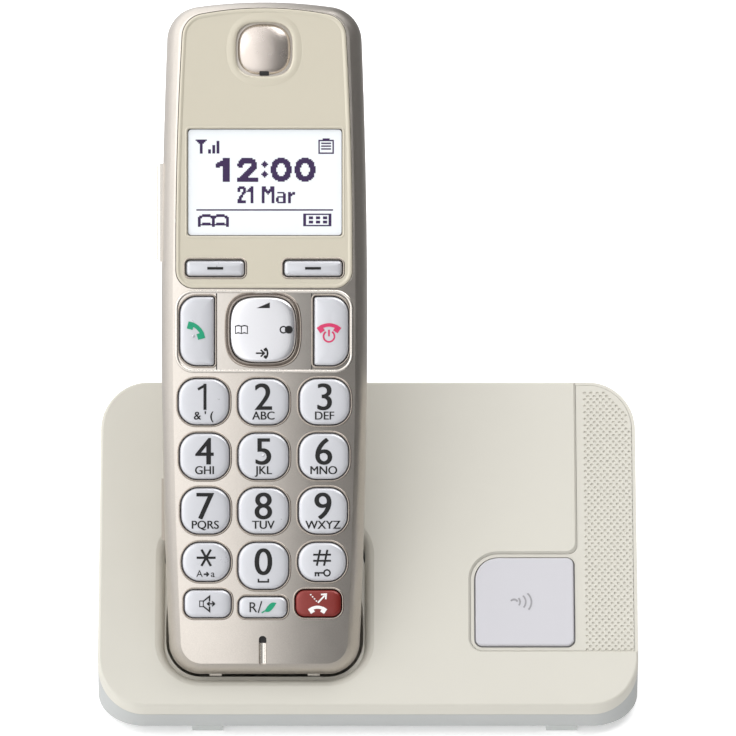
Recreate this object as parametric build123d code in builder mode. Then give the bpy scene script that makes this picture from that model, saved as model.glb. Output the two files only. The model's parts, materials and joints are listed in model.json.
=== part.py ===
"""A cordless telephone: a handset with keys, display and battery bay, in a wedge-shaped charging base.

The row frame stands on the desk: +Z up, -Y towards the user, origin under the middle of the whole object.
The base is drawn on its sloping top plane. The handset is drawn in its own frame, on its front face:
x runs across it, y runs up it from its lower end, and z comes out of the face towards the user.
"""

import os
from math import cos, pi, radians, sin

from build123d import *

# ---------------------------------------------------------------- driving sizes, in millimetres and degrees
# base
base_width = 143.0
base_depth = 84.4
base_corner = 12.5
base_slope = 26.0
front_height = 10.3
foot_height = 2.2
cover_band = 3.0
cover_skin = 2.2
cover_rim = 2.0
cover_edge_rounding = 0.8
housing_wall = 3.0
housing_floor = 1.8
housing_rounding = 1.2
seam_gap = 0.05
foot_left, foot_right = -42.45, 51.2
foot_from_front, foot_from_back = 5.6, 9.0
foot_half_width, foot_half_length = 4.1, 4.5
foot_seat = 0.6
foot_edge = 0.5
vent_count, vent_pitch, vent_width = 7, 8.0, 3.0
vent_left, vent_low, vent_high = -52.0, 14.0, 26.0

# handset
handset_length = 177.6
handset_mid_half = 27.2
handset_toe_half = 24.8
handset_top_half = 25.4
handset_widest_at = 95.0
shoulder_drop = 2.6
toe_corner = 8.5
top_corner = 9.0
face_inset_side = 3.1
face_inset_toe = 2.9
face_inset_top = 1.5
bevel_middle = 1.6
bevel_depth = 5.0
parting_depth = 9.0
back_depth = 21.3
toe_back_depth = 17.0
toe_back_run = 70.0
front_wall = 2.6
rear_wall = 2.2

# how the handset stands in the base
handset_lean = 40.0
handset_x = -27.4
toe_from_front = 4.8
toe_height = 16.8
pocket_clearance = 0.8
pocket_wall = 1.6
rim_flare = 2.6
rim_depth = 2.6
rim_corner = 10.0
rim_room = 0.9

# charging contacts, measured in the handset's frame
contact_x = 13.0
contact_depth = 14.0
contact_half_width, contact_half_height = 1.6, 1.3
contact_clearance = 0.3
contact_top = 0.3
contact_stop = 2.55
contact_flange_half_width, contact_flange_half_height = 3.0, 1.4
contact_flange_thickness = 0.45
contact_edge = 0.4
pad_half_width, pad_half_height = 1.9, 1.4
pad_clearance = 0.1
pad_front, pad_back = 1.0, 3.6

# keys
key_gap = 0.28
key_rise = 0.9
panel_key_rise = 0.6
key_travel = 0.6
key_rounding = 0.8
sharp_key_rounding = 0.5
face_thickness = 2.4
flange_lip = 0.5
flange_thickness = 0.55
flange_gap = 0.1
tilt_gap = 0.5
column_pitch = 15.95
row_pitch = 14.4
first_row = 72.0
dial_width = 13.2
dial_height = 12.0
dial_corner = 4.6
edge_taper = 0.22
fit_gap = 0.05

# circuit board and keypad of the handset
mat_room = 0.25
mat_front = face_thickness + flange_gap + flange_thickness + key_travel + mat_room
mat_thickness = 0.7
dome_height = 0.55
board_front = mat_front + mat_thickness + dome_height + fit_gap
board_thickness = 1.2
board_inset = 4.6
board_back = board_front + board_thickness

# ---------------------------------------------------------------- frames
lean_sin, lean_cos = sin(radians(handset_lean)), cos(radians(handset_lean))
slope_sin, slope_cos = sin(radians(base_slope)), cos(radians(base_slope))
slope_length = base_depth / slope_cos
overall_depth = toe_from_front + (handset_length - 2.8) * lean_sin + (back_depth - 2.6) * lean_cos
front_y = -overall_depth / 2
base_middle_y = front_y + base_depth / 2
back_y = front_y + base_depth

top_plane = Plane(origin=(0, front_y, front_height), x_dir=(1, 0, 0), z_dir=(0, -slope_sin, slope_cos))
face_plane = Plane(
    origin=(handset_x, front_y + toe_from_front, toe_height),
    x_dir=(1, 0, 0),
    z_dir=(0, -lean_cos, lean_sin),
)
out_of_top = Axis(top_plane.origin, top_plane.z_dir)
out_of_face = Axis(face_plane.origin, face_plane.z_dir)

foot_rows = (front_y + foot_from_front, back_y - foot_from_back)
foot_places = [(x, y) for x in (foot_left, foot_right) for y in foot_rows]
made = {}


def keep(builder, name):
    """Labels a finished piece and files it under its node name."""
    builder.part.label = name
    made[name] = builder.part


def block(frame, x_span, y_span, z_span, mode=Mode.ADD):
    """A box between two limits on each axis of a frame."""
    spans = (x_span, y_span, z_span)
    middle = tuple((low + high) / 2 for low, high in spans)
    with Locations(frame.location * Location(middle)):
        Box(*(high - low for low, high in spans), mode=mode)


def around(middle, reach):
    """The two limits that lie a reach either side of a middle."""
    return middle - reach, middle + reach


def post(frame, x, y, z_span, radius, mode=Mode.ADD):
    """A round post along a frame's z axis between two heights."""
    low, high = z_span
    with Locations(frame.location * Location((x, y, (low + high) / 2))):
        Cylinder(radius, high - low, mode=mode)


# ---------------------------------------------------------------- shapes of the handset
def handset_outline(depth, side=0.0, toe=0.0, top=0.0):
    """The handset's outline at a depth behind its face, drawn in by three insets."""
    toe_half = handset_toe_half - side
    mid_half = handset_mid_half - side
    top_half = handset_top_half - side
    shoulder = handset_length - shoulder_drop - top
    with BuildSketch(face_plane.offset(-depth)) as outline:
        with BuildLine():
            Line((-toe_half, toe), (toe_half, toe))
            ThreePointArc((toe_half, toe), (mid_half, handset_widest_at), (top_half, shoulder))
            ThreePointArc((top_half, shoulder), (0, handset_length - top), (-top_half, shoulder))
            ThreePointArc((-top_half, shoulder), (-mid_half, handset_widest_at), (-toe_half, toe))
        make_face()
        fillet(outline.vertices().group_by(Axis.Y)[0], max(toe_corner - (side + toe) / 2, 1.0))
        fillet(outline.vertices().group_by(Axis.Y)[-1], max(top_corner - (side + top) / 2, 1.0))
    return outline.sketch


def rear_form(growth=0.0, start=parting_depth):
    """The pillow shape of the handset's back, grown all round, from a starting depth to its back."""
    run_in = (start, 0.0), (back_depth - 7.0, 0.6), (back_depth - 2.8, 2.8), (back_depth, 7.0)
    sections = []
    for depth, inset in run_in:
        reach = depth if depth == start else depth + growth
        sections.append(handset_outline(reach, side=inset - growth, toe=inset - growth, top=inset - growth))
    toe_point = face_plane.from_local_coords((0, 0, -toe_back_depth))
    far_point = face_plane.from_local_coords((0, toe_back_run, -back_depth))
    along_back = (far_point - toe_point).normalized()
    behind = Vector(1, 0, 0).cross(along_back)
    back_plane = Plane(origin=toe_point - behind * growth, x_dir=(1, 0, 0), z_dir=behind)
    with BuildPart() as form:
        loft(sections=sections)
        split(bisect_by=back_plane, keep=Keep.TOP)
    return form.part


# ---------------------------------------------------------------- shapes of the base
def wedge(inset=0.0, drop=0.0, start=foot_height):
    """The base's plan raised from a height to a plane that lies a drop below the sloping top."""
    with BuildPart() as body:
        with BuildSketch(Plane.XY.offset(start)):
            with Locations((0, base_middle_y)):
                RectangleRounded(base_width - 2 * inset, base_depth - 2 * inset, base_corner - inset)
        extrude(amount=base_depth)
        split(bisect_by=top_plane.offset(-drop), keep=Keep.BOTTOM)
    return body.part


def cradle(growth):
    """The room the handset's lower end takes in the base, grown all round and open towards the user."""
    with BuildPart() as room:
        add(rear_form(growth))
        extrude(
            handset_outline(parting_depth, side=-growth, toe=-growth, top=-growth),
            amount=parting_depth + 30,
        )
    return room.part


def on_top(point, along):
    """Where a line from a point along a direction meets the sloping top, in the top's own coordinates."""
    distance = -top_plane.to_local_coords(point).Z / along.dot(top_plane.z_dir)
    return top_plane.to_local_coords(point + along * distance)


def pocket_flare():
    """The softly rounded rim of the pocket: a shallow funnel that meets the pocket's walls."""
    toe_wall = face_plane.from_local_coords((0, -pocket_clearance, 0))
    back_wall = face_plane.from_local_coords((0, 0, -back_depth - pocket_clearance))
    low, high = on_top(toe_wall, face_plane.z_dir).Y, on_top(back_wall, face_plane.y_dir).Y
    half = handset_toe_half + pocket_clearance + rim_room
    sections = []
    for depth, growth in ((-0.01, rim_flare), (0.35 * rim_depth, 0.3 * rim_flare), (rim_depth, 0.0)):
        with BuildSketch(top_plane.offset(-depth)) as ring:
            with Locations((handset_x, (low + high) / 2)):
                RectangleRounded(2 * (half + growth), high - low + 2 * growth, rim_corner + growth)
        sections.append(ring.sketch)
    with BuildPart() as funnel:
        loft(sections=sections)
    return funnel.part


# ---------------------------------------------------------------- base: cover, housing and textured trim
locator_left, locator_right = 28.5, 54.6
locator_low, locator_high = 17.0, 42.2
locator_big_corner, locator_corner = 6.3, 1.9
locator_gap = 0.35
locator_rise = 0.1
locator_travel = 0.6
locator_rim = 1.35
step_down = 0.6
step_bevel = 0.55
trim_left = 55.6
trim_low = locator_low - locator_rim
trim_margin = 0.9
trim_thickness = 0.9
trim_gap = 0.1
locator_stem = 2.5
switch_height = 1.4
switch_room = 0.2
switch_board_drop = cover_skin + locator_stem + locator_travel + switch_height + switch_room
switch_board_thickness = 1.2
board_post_reach = 3.5
board_post_radius = 1.7
locator_x = (locator_left + locator_right) / 2
locator_q = (locator_low + locator_high) / 2
base_boss_places = [(-58.0, 12.0), (60.0, 12.0), (-58.0, 72.0), (12.0, 72.0)]
base_boss_radius = 3.6
base_screw_radius = 1.4
base_screw_head_radius = 2.6
base_screw_head_room = 0.3
base_boss_rise = 2.9


def locator_outline(height, growth=0.0):
    """The locator key's outline, a square with one large corner, on a plane over the sloping top."""
    wide = locator_right - locator_left + 2 * growth
    tall = locator_high - locator_low + 2 * growth
    with BuildSketch(top_plane.offset(height)) as outline:
        with Locations((locator_x, locator_q)):
            Rectangle(wide, tall)
        big = outline.vertices().group_by(Axis.X)[0].sort_by(Axis.Y)[-1]
        fillet(big, locator_big_corner + growth)
        square = [v for v in outline.vertices() if abs(v.X - locator_right) < growth + 0.01]
        fillet(square, locator_corner + growth)
        last = outline.vertices().group_by(Axis.X)[0].sort_by(Axis.Y)[0]
        fillet(last, locator_corner + growth)
    return outline.sketch


def lowered_outline(height, growth=0.0):
    """The lowered area of the cover: the strip at its right and a frame round the locator key."""
    frame_top = locator_high + locator_rim
    with BuildSketch(top_plane.offset(height)) as outline:
        add(locator_outline(0, locator_rim + growth).moved(top_plane.location.inverse()))
        with Locations((trim_left - growth, trim_low - growth)):
            Rectangle(base_width, 2 * slope_length, align=(Align.MIN, Align.MIN))
        with Locations((locator_x, trim_low - growth)):
            Rectangle(base_width, frame_top - trim_low + 2 * growth, align=(Align.MIN, Align.MIN))
        inner = [v for v in outline.vertices() if abs(v.X - trim_left + growth) < 0.01]
        fillet(ShapeList(inner).sort_by(Axis.Y)[0], 2.5)
    return outline.sketch


def trim_zone(inset, bottom, top):
    """The textured strip and the frame round the locator key, between two heights off the sloping top."""
    with BuildPart() as zone:
        extrude(lowered_outline(bottom, -inset), amount=top - bottom)
        add(wedge(trim_margin + inset, -1.0), mode=Mode.INTERSECT)
    return zone.part


with BuildPart() as base_top_cover:
    add(wedge())
    split(bisect_by=top_plane.offset(-cover_band), keep=Keep.TOP)
    fillet(base_top_cover.faces().sort_by(out_of_top)[-1].edges(), cover_edge_rounding)
    add(wedge(cover_rim, cover_skin), mode=Mode.SUBTRACT)
    with BuildPart(mode=Mode.PRIVATE) as pocket_outside:
        add(cradle(pocket_clearance + pocket_wall))
        add(wedge(cover_rim + 1.0, cover_skin / 2, foot_height + housing_floor + 0.3), mode=Mode.INTERSECT)
    add(pocket_outside.part)
    for x, y in base_boss_places:
        with BuildPart(mode=Mode.PRIVATE) as boss:
            boss_low = foot_height + housing_floor + base_boss_rise + 2 * fit_gap
            post(Plane.XY, x, front_y + y, (boss_low, base_depth), base_boss_radius)
            post(Plane.XY, x, front_y + y, (0, base_depth), base_screw_radius, mode=Mode.SUBTRACT)
            split(bisect_by=top_plane.offset(-cover_skin / 2), keep=Keep.BOTTOM)
        add(boss.part)
    for x in (locator_left - board_post_reach, locator_right + board_post_reach):
        post(top_plane, x, locator_q, (-switch_board_drop + fit_gap, -cover_skin / 2), board_post_radius)
    add(cradle(pocket_clearance), mode=Mode.SUBTRACT)
    add(pocket_flare(), mode=Mode.SUBTRACT)
    extrude(locator_outline(-cover_band - 1, locator_gap), amount=cover_band + 2, mode=Mode.SUBTRACT)
    loft(sections=[lowered_outline(-step_down), lowered_outline(0.01, step_bevel)], mode=Mode.SUBTRACT)
    add(trim_zone(0, -step_down - trim_thickness, 0), mode=Mode.SUBTRACT)
    for x in (-contact_x, contact_x):
        block(
            face_plane,
            around(x, contact_half_width + contact_clearance),
            (-8, 3),
            around(-contact_depth, contact_half_height + contact_clearance),
            mode=Mode.SUBTRACT,
        )
keep(base_top_cover, "base_top_cover")

with BuildPart() as textured_trim_panel:
    add(trim_zone(trim_gap, -step_down - trim_thickness + fit_gap, -step_down))
    extrude(locator_outline(-cover_band, locator_gap), amount=cover_band, mode=Mode.SUBTRACT)
keep(textured_trim_panel, "textured_trim_panel")

dc_x, line_x = 24.0, 46.0
board_z = 9.0
base_board_thickness = 1.6
jack_bottom = board_z + base_board_thickness
dc_width, dc_height = 9.0, 11.0
line_width, line_height = 15.0, 13.0
jack_gap = 0.3
board_left, board_right = 17.0, 62.0
board_post_x = (20.0, 59.0)
board_post_y = (front_y + 44, front_y + 63)
board_support_radius = 2.5

with BuildPart() as base_bottom_housing:
    add(wedge())
    fillet(base_bottom_housing.faces().sort_by(Axis.Z)[0].edges(), housing_rounding)
    split(bisect_by=top_plane.offset(-cover_band - seam_gap), keep=Keep.BOTTOM)
    add(wedge(housing_wall, -5, foot_height + housing_floor), mode=Mode.SUBTRACT)
    with BuildPart(mode=Mode.PRIVATE) as lip:
        add(wedge(cover_rim + 0.1, cover_skin + 0.15))
        add(wedge(housing_wall, -5, 0), mode=Mode.SUBTRACT)
        split(bisect_by=top_plane.offset(-cover_band - 2), keep=Keep.TOP)
    add(lip.part)
    for x, y in base_boss_places:
        floor_top = foot_height + housing_floor
        hole, well = base_screw_radius + base_screw_head_room, base_screw_head_radius + base_screw_head_room
        post(Plane.XY, x, front_y + y, (floor_top, floor_top + base_boss_rise), base_boss_radius)
        post(Plane.XY, x, front_y + y, (0, 20), hole, mode=Mode.SUBTRACT)
        post(Plane.XY, x, front_y + y, (0, floor_top + 0.6), well, mode=Mode.SUBTRACT)
    for x in board_post_x:
        for y in board_post_y:
            post(Plane.XY, x, y, (foot_height + housing_floor, board_z - fit_gap), board_support_radius)
    for x, width, height in ((dc_x, dc_width, dc_height), (line_x, line_width, line_height)):
        block(
            Plane.XY,
            around(x, width / 2 + jack_gap),
            (back_y - housing_wall - 1, back_y + 1),
            (jack_bottom - jack_gap, jack_bottom + height + jack_gap),
            mode=Mode.SUBTRACT,
        )
    for step in range(vent_count):
        vent_x = vent_left + vent_pitch * step
        block(
            Plane.XY,
            (vent_x, vent_x + vent_width),
            (back_y - housing_wall - 1, back_y + 1),
            (vent_low, vent_high),
            mode=Mode.SUBTRACT,
        )
    for x, y in foot_places:
        room_x, room_y = around(x, foot_half_width + 2 * fit_gap), around(y, foot_half_length + 2 * fit_gap)
        block(Plane.XY, room_x, room_y, (0, foot_height + foot_seat), mode=Mode.SUBTRACT)
keep(base_bottom_housing, "base_bottom_housing")

with BuildPart() as base_feet:
    for x, y in foot_places:
        seat = foot_height + foot_seat - fit_gap
        block(Plane.XY, around(x, foot_half_width), around(y, foot_half_length), (0, seat))
    fillet(base_feet.edges().group_by(Axis.Z)[0], foot_edge)
keep(base_feet, "base_feet")

with BuildPart() as base_screws:
    for x, y in base_boss_places:
        floor_top = foot_height + housing_floor
        post(Plane.XY, x, front_y + y, (floor_top - 1.4, floor_top + 0.55), base_screw_head_radius)
        post(Plane.XY, x, front_y + y, (floor_top, floor_top + 8), base_screw_radius - fit_gap)
        block(
            Plane.XY,
            around(x, 1.6),
            around(front_y + y, 0.3),
            (floor_top - 1.5, floor_top - 0.8),
            mode=Mode.SUBTRACT,
        )
keep(base_screws, "base_screws")

# ---------------------------------------------------------------- base: what is inside
board_low_y, board_high_y = front_y + 40, back_y - housing_wall - 0.6
with BuildPart() as base_circuit_board:
    board_top = board_z + base_board_thickness
    block(Plane.XY, (board_left, board_right), (board_low_y, board_high_y), (board_z, board_top))
    fillet(base_circuit_board.edges().filter_by(Axis.Z), 1.0)
keep(base_circuit_board, "base_circuit_board")

with BuildPart() as base_radio_shield:
    block(Plane.XY, (20, 42), (board_low_y + 4, board_low_y + 22), (jack_bottom, jack_bottom + 2.6))
    fillet(base_radio_shield.faces().sort_by(Axis.Z)[-1].edges(), 0.5)
keep(base_radio_shield, "base_radio_shield")

with BuildPart() as base_antenna:
    block(Plane.XY, (48, 49), (board_low_y + 2, board_low_y + 20), (jack_bottom, jack_bottom + 9))
    block(Plane.XY, (48, 58), (board_low_y + 2, board_low_y + 3), (jack_bottom + 6, jack_bottom + 9))
keep(base_antenna, "base_antenna")

with BuildPart() as dc_power_jack:
    block(
        Plane.XY,
        around(dc_x, dc_width / 2),
        (back_y - 12.5, back_y - 0.3),
        (jack_bottom, jack_bottom + dc_height),
    )
    with Locations(Location((dc_x, back_y - 5, jack_bottom + dc_height / 2), (90, 0, 0))):
        Cylinder(2.9, 10, mode=Mode.SUBTRACT)
    with Locations(Location((dc_x, back_y - 6, jack_bottom + dc_height / 2), (90, 0, 0))):
        Cylinder(0.9, 9)
keep(dc_power_jack, "dc_power_jack")

with BuildPart() as telephone_line_jack:
    line_low, line_high = jack_bottom, jack_bottom + line_height
    block(Plane.XY, around(line_x, line_width / 2), (back_y - 16, back_y - 0.3), (line_low, line_high))
    socket_depth = (back_y - 13, back_y)
    block(Plane.XY, around(line_x, 5), socket_depth, (line_low + 2.2, line_low + 9.2), mode=Mode.SUBTRACT)
    block(Plane.XY, around(line_x, 3), socket_depth, (line_low + 9, line_low + 11.2), mode=Mode.SUBTRACT)
keep(telephone_line_jack, "telephone_line_jack")

with BuildPart() as locator_board:
    block(
        top_plane,
        (locator_left - board_post_reach - 2, locator_right + board_post_reach + 2),
        around(locator_q, 6),
        (-switch_board_drop - switch_board_thickness, -switch_board_drop),
    )
keep(locator_board, "locator_board")

with BuildPart() as locator_switch:
    block(
        top_plane,
        around(locator_x, 3),
        around(locator_q, 3),
        (-switch_board_drop, -switch_board_drop + 1.0),
    )
    switch_top = -switch_board_drop + switch_height
    post(top_plane, locator_x, locator_q, (switch_top - 0.4, switch_top), 1.6)
keep(locator_switch, "locator_switch")

with BuildPart() as locator_button:
    extrude(locator_outline(-cover_skin - 0.1), amount=cover_skin + 0.1 + locator_rise)
    fillet(locator_button.faces().sort_by(out_of_top)[-1].edges(), 0.5)
    extrude(locator_outline(-cover_skin - 1.1, locator_gap + 0.5), amount=1.0)
    post(top_plane, locator_x, locator_q, (-cover_skin - locator_stem, -cover_skin - 1.1), 2.2)
keep(locator_button, "locator_button")

for side, x in (("left", -contact_x), ("right", contact_x)):
    with BuildPart() as base_contact:
        block(
            face_plane,
            around(x, contact_half_width),
            (-contact_stop, contact_top),
            around(-contact_depth, contact_half_height),
        )
        tip = base_contact.faces().sort_by(Axis(face_plane.origin, face_plane.y_dir))[-1]
        fillet(tip.edges(), contact_edge)
        block(
            face_plane,
            around(x, contact_flange_half_width),
            (-contact_stop - contact_flange_thickness, -contact_stop),
            around(-contact_depth, contact_flange_half_height),
        )
    keep(base_contact, "base_charge_contact_" + side)

# ---------------------------------------------------------------- handset: where the keys are
talk_left, talk_right = -22.2, -13.2
talk_low, talk_high = 81.6, 99.7
talk_big_corner, talk_small_corner = 4.4, 0.6
navigator_x, navigator_y, navigator_size = -0.3, 91.0, 17.2
navigator_recess = 1.25
squircle_power = 3.2

small_keys = {
    "soft_key_left": (-12.9, 107.2, 15.3, 4.2, 1.0),
    "soft_key_right": (12.9, 107.2, 15.3, 4.2, 1.0),
    "speakerphone_key": (-14.9, 18.7, 12.2, 7.2, 2.4),
    "recall_key": (-0.35, 17.8, 12.6, 5.4, 1.8),
    "call_block_key": (14.3, 18.8, 12.0, 7.0, 2.4),
}
dial_rows = [
    ("key_1", "key_2", "key_3"),
    ("key_4", "key_5", "key_6"),
    ("key_7", "key_8", "key_9"),
    ("key_star", "key_0", "key_hash"),
]
last_row_drop = 13.45
for row, names in enumerate(dial_rows):
    shift = column_pitch - edge_taper * row
    width = dial_width - edge_taper * row
    row_y = first_row - row_pitch * row
    tall = dial_height
    if row == 3:
        row_y = first_row - 2 * row_pitch - last_row_drop
        tall = 10.1
    small_keys[names[0]] = (-shift, row_y, width, tall, dial_corner)
    small_keys[names[2]] = (shift, row_y, width, tall, dial_corner)
    small_keys[names[1]] = (-0.2, row_y, dial_width, tall, dial_corner)
small_keys["key_0"] = (-0.2, 28.7, dial_width, 12.2, dial_corner)


def side_key_outline(height, growth, sign):
    """A key beside the navigator, round at its outer corners and nearly square at its inner ones."""
    middle = ((talk_left + talk_right) / 2 * -sign, (talk_low + talk_high) / 2)
    wide = talk_right - talk_left + 2 * growth
    tall = talk_high - talk_low + 2 * growth
    outer = 0 if sign < 0 else -1
    with BuildSketch(face_plane.offset(height)) as outline:
        with Locations(middle):
            Rectangle(wide, tall)
        fillet(outline.vertices().group_by(Axis.X)[outer], talk_big_corner + growth)
        fillet(outline.vertices().group_by(Axis.X)[-1 - outer], talk_small_corner + growth)
    return outline.sketch


def squircle(frame, x, y, wide, tall):
    """A closed curve between an ellipse and a rectangle, drawn on a frame."""
    points = []
    for step in range(24):
        angle = 2 * pi * step / 24
        c, s = cos(angle), sin(angle)
        reach = (abs(c) ** squircle_power + abs(s) ** squircle_power) ** (-1 / squircle_power)
        points.append((x + wide / 2 * reach * c, y + tall / 2 * reach * s))
    with BuildSketch(frame) as outline:
        with BuildLine():
            Spline(*points, periodic=True)
        make_face()
    return outline.sketch


def key_outline(name, height, growth=0.0):
    """The outline of any face key at a height off the handset's face."""
    if name == "talk_key":
        return side_key_outline(height, growth, -1)
    if name == "off_key":
        return side_key_outline(height, growth, 1)
    if name == "navigator_key":
        size = navigator_size + 2 * growth
        return squircle(face_plane.offset(height), navigator_x, navigator_y, size, size)
    x, y, wide, tall, corner = small_keys[name]
    with BuildSketch(face_plane.offset(height)) as outline:
        with Locations((x, y)):
            RectangleRounded(wide + 2 * growth, tall + 2 * growth, corner + growth)
    return outline.sketch


function_keys = ["talk_key", "off_key", "navigator_key"]
panel_keys = ["soft_key_left", "soft_key_right"]
all_keys = list(small_keys) + function_keys

# ---------------------------------------------------------------- handset: housings
lens_inset, lens_top_inset, lens_low = 4.2, 1.9, 102.1
lens_thickness, plate_thickness, face_proud = 1.2, 0.8, 0.1
window_left, window_right, window_low, window_high = -20.5, 20.9, 115.5, 144.3
lcd_half, lcd_low, lcd_high = 22.4, 112.8, 147.6
plate_half, plate_low, plate_high = 23.2, 79.9, 101.2
ear_x, ear_y = 0.0, 165.0
mic_x, mic_y = -0.4, 9.1
mic_slot_y, mic_slot_length, mic_slot_width, mic_slot_depth = 6.3, 7.8, 2.1, 0.8
mic_radius = 0.75
speaker_y = 132.6
speaker_room = 0.1
volume_low, volume_high, volume_depth, volume_reach = 109.0, 135.0, 6.1, 28.4
volume_inside = 23.05
jack_cover_low, jack_cover_high, jack_depth, jack_reach = 35.2, 51.6, 12.1, 27.3
jack_y = 45.5
bay_left, bay_right, bay_low, bay_high = -13.2, 13.2, 56.0, 107.0
bay_wall = 1.2
door_half, door_low, door_high = 16.0, 52.0, 113.0
door_thickness = 1.1
handset_screw_places = [(-17.0, 9.5), (17.0, 9.5), (-17.0, 169.0), (17.0, 169.0)]
toe_screw_depth, top_screw_depth = toe_back_depth - 0.8, back_depth - 1.3


def screw_depth(y):
    """How deep behind the face a handset screw's head sits, less near the slimmer toe."""
    return toe_screw_depth if y < toe_back_run else top_screw_depth


def lens_outline(height, growth=0.0):
    """The upper panel's outline: it follows the handset at the top and is cut straight below."""
    with BuildSketch(face_plane.offset(height)) as outline:
        upper = handset_outline(0, lens_inset - growth, 40, lens_top_inset - growth)
        add(upper.moved(face_plane.location.inverse()))
        with Locations((0, lens_low - growth)):
            size = (3 * handset_mid_half, handset_length)
            Rectangle(*size, align=(Align.CENTER, Align.MIN), mode=Mode.INTERSECT)
        fillet(outline.vertices().group_by(Axis.Y)[0], 4.5 + growth)
    return outline.sketch


def plate_outline(height, growth=0.0):
    """The outline of the plate round the function keys."""
    with BuildSketch(face_plane.offset(height)) as outline:
        with Locations((0, (plate_low + plate_high) / 2)):
            RectangleRounded(2 * (plate_half + growth), plate_high - plate_low + 2 * growth, 4.6 + growth)
    return outline.sketch


def window_outline(height, growth=0.0):
    """The display window's outline."""
    with BuildSketch(face_plane.offset(height)) as outline:
        with Locations(((window_left + window_right) / 2, (window_low + window_high) / 2)):
            RectangleRounded(
                window_right - window_left + 2 * growth,
                window_high - window_low + 2 * growth,
                1.0 + growth,
            )
    return outline.sketch


with BuildPart() as handset_front_housing:
    loft(
        sections=[
            handset_outline(0, face_inset_side, face_inset_toe, face_inset_top),
            handset_outline(bevel_middle, 1.0, 0.95, 0.5),
            handset_outline(bevel_depth),
        ]
    )
    extrude(handset_outline(parting_depth), amount=parting_depth - bevel_depth)
    extrude(
        handset_outline(parting_depth + 1, front_wall, front_wall, front_wall),
        amount=parting_depth + 1 - face_thickness,
        mode=Mode.SUBTRACT,
    )
    for x, y in handset_screw_places:
        post(face_plane, x, y, (-board_front + fit_gap, -face_thickness + 0.5), 2.6)
        post(face_plane, x, y, (-board_front - 1, -face_thickness - 0.4), 0.9, mode=Mode.SUBTRACT)
    extrude(lens_outline(-lens_thickness, fit_gap), amount=3, mode=Mode.SUBTRACT)
    extrude(plate_outline(-plate_thickness, fit_gap), amount=3, mode=Mode.SUBTRACT)
    extrude(window_outline(-face_thickness - 1, 0.5), amount=4, mode=Mode.SUBTRACT)
    for name in all_keys:
        extrude(key_outline(name, -face_thickness - 1, key_gap), amount=5, mode=Mode.SUBTRACT)
    post(face_plane, ear_x, ear_y, (-face_thickness - 1, 1), 5.4, mode=Mode.SUBTRACT)
    with BuildSketch(face_plane.offset(-mic_slot_depth)):
        with Locations((mic_x, mic_slot_y)):
            SlotOverall(mic_slot_length, mic_slot_width, rotation=90)
    extrude(amount=4, mode=Mode.SUBTRACT)
    post(face_plane, mic_x, mic_y, (-face_thickness - 1, 1), mic_radius, mode=Mode.SUBTRACT)
    block(
        face_plane,
        (-handset_mid_half - 2, -handset_mid_half + front_wall + 1),
        (volume_low - 0.4, volume_high + 0.4),
        around(-volume_depth, 2.1),
        mode=Mode.SUBTRACT,
    )
keep(handset_front_housing, "handset_front_housing")

with BuildPart() as handset_rear_housing:
    add(rear_form(0, parting_depth + seam_gap))
    add(rear_form(-rear_wall, parting_depth), mode=Mode.SUBTRACT)
    block(face_plane, (bay_left, bay_right), (bay_low, bay_high), (-back_depth + 1, -7.2))
    for x, y in handset_screw_places:
        deep = screw_depth(y)
        post(face_plane, x, y, (-deep, -board_front - board_thickness - fit_gap), 2.6)
        post(face_plane, x, y, (-deep - 6, -deep + 2.0), 2.2, mode=Mode.SUBTRACT)
        post(face_plane, x, y, (-deep - 6, 0), 1.1, mode=Mode.SUBTRACT)
    block(
        face_plane,
        (bay_left + bay_wall, bay_right - bay_wall),
        (bay_low + bay_wall, bay_high - bay_wall),
        (-back_depth - 3, -8.2),
        mode=Mode.SUBTRACT,
    )
    with BuildPart(mode=Mode.PRIVATE) as door_room:
        add(rear_form(2))
        add(rear_form(-door_thickness - 0.15), mode=Mode.SUBTRACT)
        block(
            face_plane,
            (-door_half - 0.25, door_half + 0.25),
            (door_low - 0.25, door_high + 0.25),
            (-40, -15),
            mode=Mode.INTERSECT,
        )
    add(door_room.part, mode=Mode.SUBTRACT)
    for step in range(5):
        slot_low = speaker_y - 6.6 + 3 * step
        block(face_plane, (-9, 9), (slot_low, slot_low + 1.2), (-back_depth - 3, -17), mode=Mode.SUBTRACT)
    block(
        face_plane,
        (-30, -handset_mid_half + 2.0),
        (jack_cover_low - 0.3, jack_cover_high + 0.3),
        around(-jack_depth, 2.6),
        mode=Mode.SUBTRACT,
    )
    with Locations(face_plane.location * Location((-24, jack_y, -jack_depth), (0, 90, 0))):
        Cylinder(1.5, 12, mode=Mode.SUBTRACT)
    for x in (-contact_x, contact_x):
        block(
            face_plane,
            around(x, pad_half_width + pad_clearance),
            (-1, 4),
            around(-contact_depth, pad_half_height + pad_clearance),
            mode=Mode.SUBTRACT,
        )
keep(handset_rear_housing, "handset_rear_housing")

with BuildPart() as battery_cover:
    add(rear_form(0))
    add(rear_form(-door_thickness), mode=Mode.SUBTRACT)
    block(face_plane, (-door_half, door_half), (door_low, door_high), (-40, -15), mode=Mode.INTERSECT)
    for step in range(4):
        groove_low = door_low + 6 + 2 * step
        block(
            face_plane,
            (-5, 5),
            (groove_low, groove_low + 0.8),
            (-back_depth - 0.6, -back_depth + 0.9),
            mode=Mode.SUBTRACT,
        )
keep(battery_cover, "battery_cover")

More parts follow.
